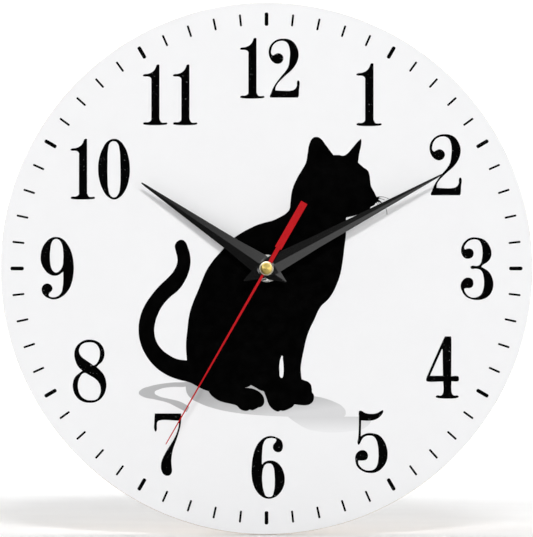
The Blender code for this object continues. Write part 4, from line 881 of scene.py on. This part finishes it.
def buildStage():
    # floor that curves up into a backdrop well behind the clock
    stage = dict(floor=cadBox[0][2] - 0.3 * mm, width=14.0, front=-6.0, bend=3.0, radius=2.0, top=7.0, steps=16)
    profile = [(stage["front"], stage["floor"])]
    for k in range(stage["steps"] + 1):
        turn = math.pi / 2 * k / stage["steps"]
        profile.append((stage["bend"] + stage["radius"] * math.sin(turn),
                        stage["floor"] + stage["radius"] * (1 - math.cos(turn))))
    profile.append((stage["bend"] + stage["radius"], stage["top"]))
    bm = bmesh.new()
    sides = [[bm.verts.new((x, y, z)) for y, z in profile] for x in (-stage["width"] / 2, stage["width"] / 2)]
    for k in range(len(profile) - 1):
        bm.faces.new((sides[0][k], sides[1][k], sides[1][k + 1], sides[0][k + 1]))
    mesh = bpy.data.meshes.new("paperSweep")
    bm.to_mesh(mesh)
    bm.free()
    mesh.shade_smooth()
    mesh.materials.append(plainMaterial("whitePaperSweep", "#fafafa", 0.9))
    sweep = linked(mesh, "paperSweep")
    # kept out of the reflections, as black flags do in a studio
    sweep.visible_glossy = False


def addLight(name, place, target, size, power):
    lamp = bpy.data.lights.new(name, "AREA")
    lamp.shape = "RECTANGLE"
    lamp.size, lamp.size_y = size
    lamp.energy = power
    light = linked(lamp, name)
    light.location = place
    light.rotation_euler = (Vector(target) - Vector(place)).to_track_quat("-Z", "Y").to_euler()


def buildLight():
    addLight("topSoftbox", (0.4, -5.0, 2.75), (0, 0, 0), (1.0, 0.5), 142)
    addLight("frontFill", (0.1, -3.4, 0.1), (0, 0, -0.05), (1.2, 0.4), 9)
    addLight("rightCard", (0.95, -2.6, 0.0), (0, 0, 0), (1.3, 2.4), 19)
    addLight("leftCard", (-2.2, -0.5, 1.6), (0, 0, 0), (1.0, 1.6), 14)
    # both banks face away from the clock, so the floor close behind it keeps its shadow
    addLight("backdropBank", (0, 1.5, 2.6), (0, 4.53, 1.6), (6.0, 0.8), 240)
    addLight("floorBank", (0, 0.55, 0.9), (0, 2.51, 0.516), (5.0, 0.3), 30)
    # straight overhead: lights the floor, but grazes the dial and casts next to no shadow of it
    addLight("topBank", (0, 0.4, 2.6), (0, 0.4, 0), (4.0, 0.8), 37)
    world = bpy.data.worlds.new("studio")
    world.use_nodes = True
    world.node_tree.nodes["Background"].inputs["Color"].default_value = srgb("#ffffff")
    world.node_tree.nodes["Background"].inputs["Strength"].default_value = 0.12
    bpy.context.scene.world = world
    bpy.context.scene.view_settings.view_transform = "Standard"


def buildCamera():
    view = dict(distance=2.6, height=0.2523, sensor=36.0)
    camera = bpy.data.cameras.new("camera")
    camera.sensor_width = view["sensor"]
    camera.lens = view["sensor"] * view["distance"] / view["height"]
    camera.clip_end = 50
    holder = linked(camera, "camera")
    holder.location = (0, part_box("dial_print")[0].y - view["distance"], 0)
    holder.rotation_euler = (math.pi / 2, 0, 0)
    bpy.context.scene.camera = holder


buildDial()
buildPrint()
buildTicks()
print("dial and print done")
buildHands()
buildCap()
buildFixing()
buildBush()
print("hands and fixing done")
buildMovement()
finishInnerNodes()
print("movement done")
buildStage()
buildLight()
buildCamera()
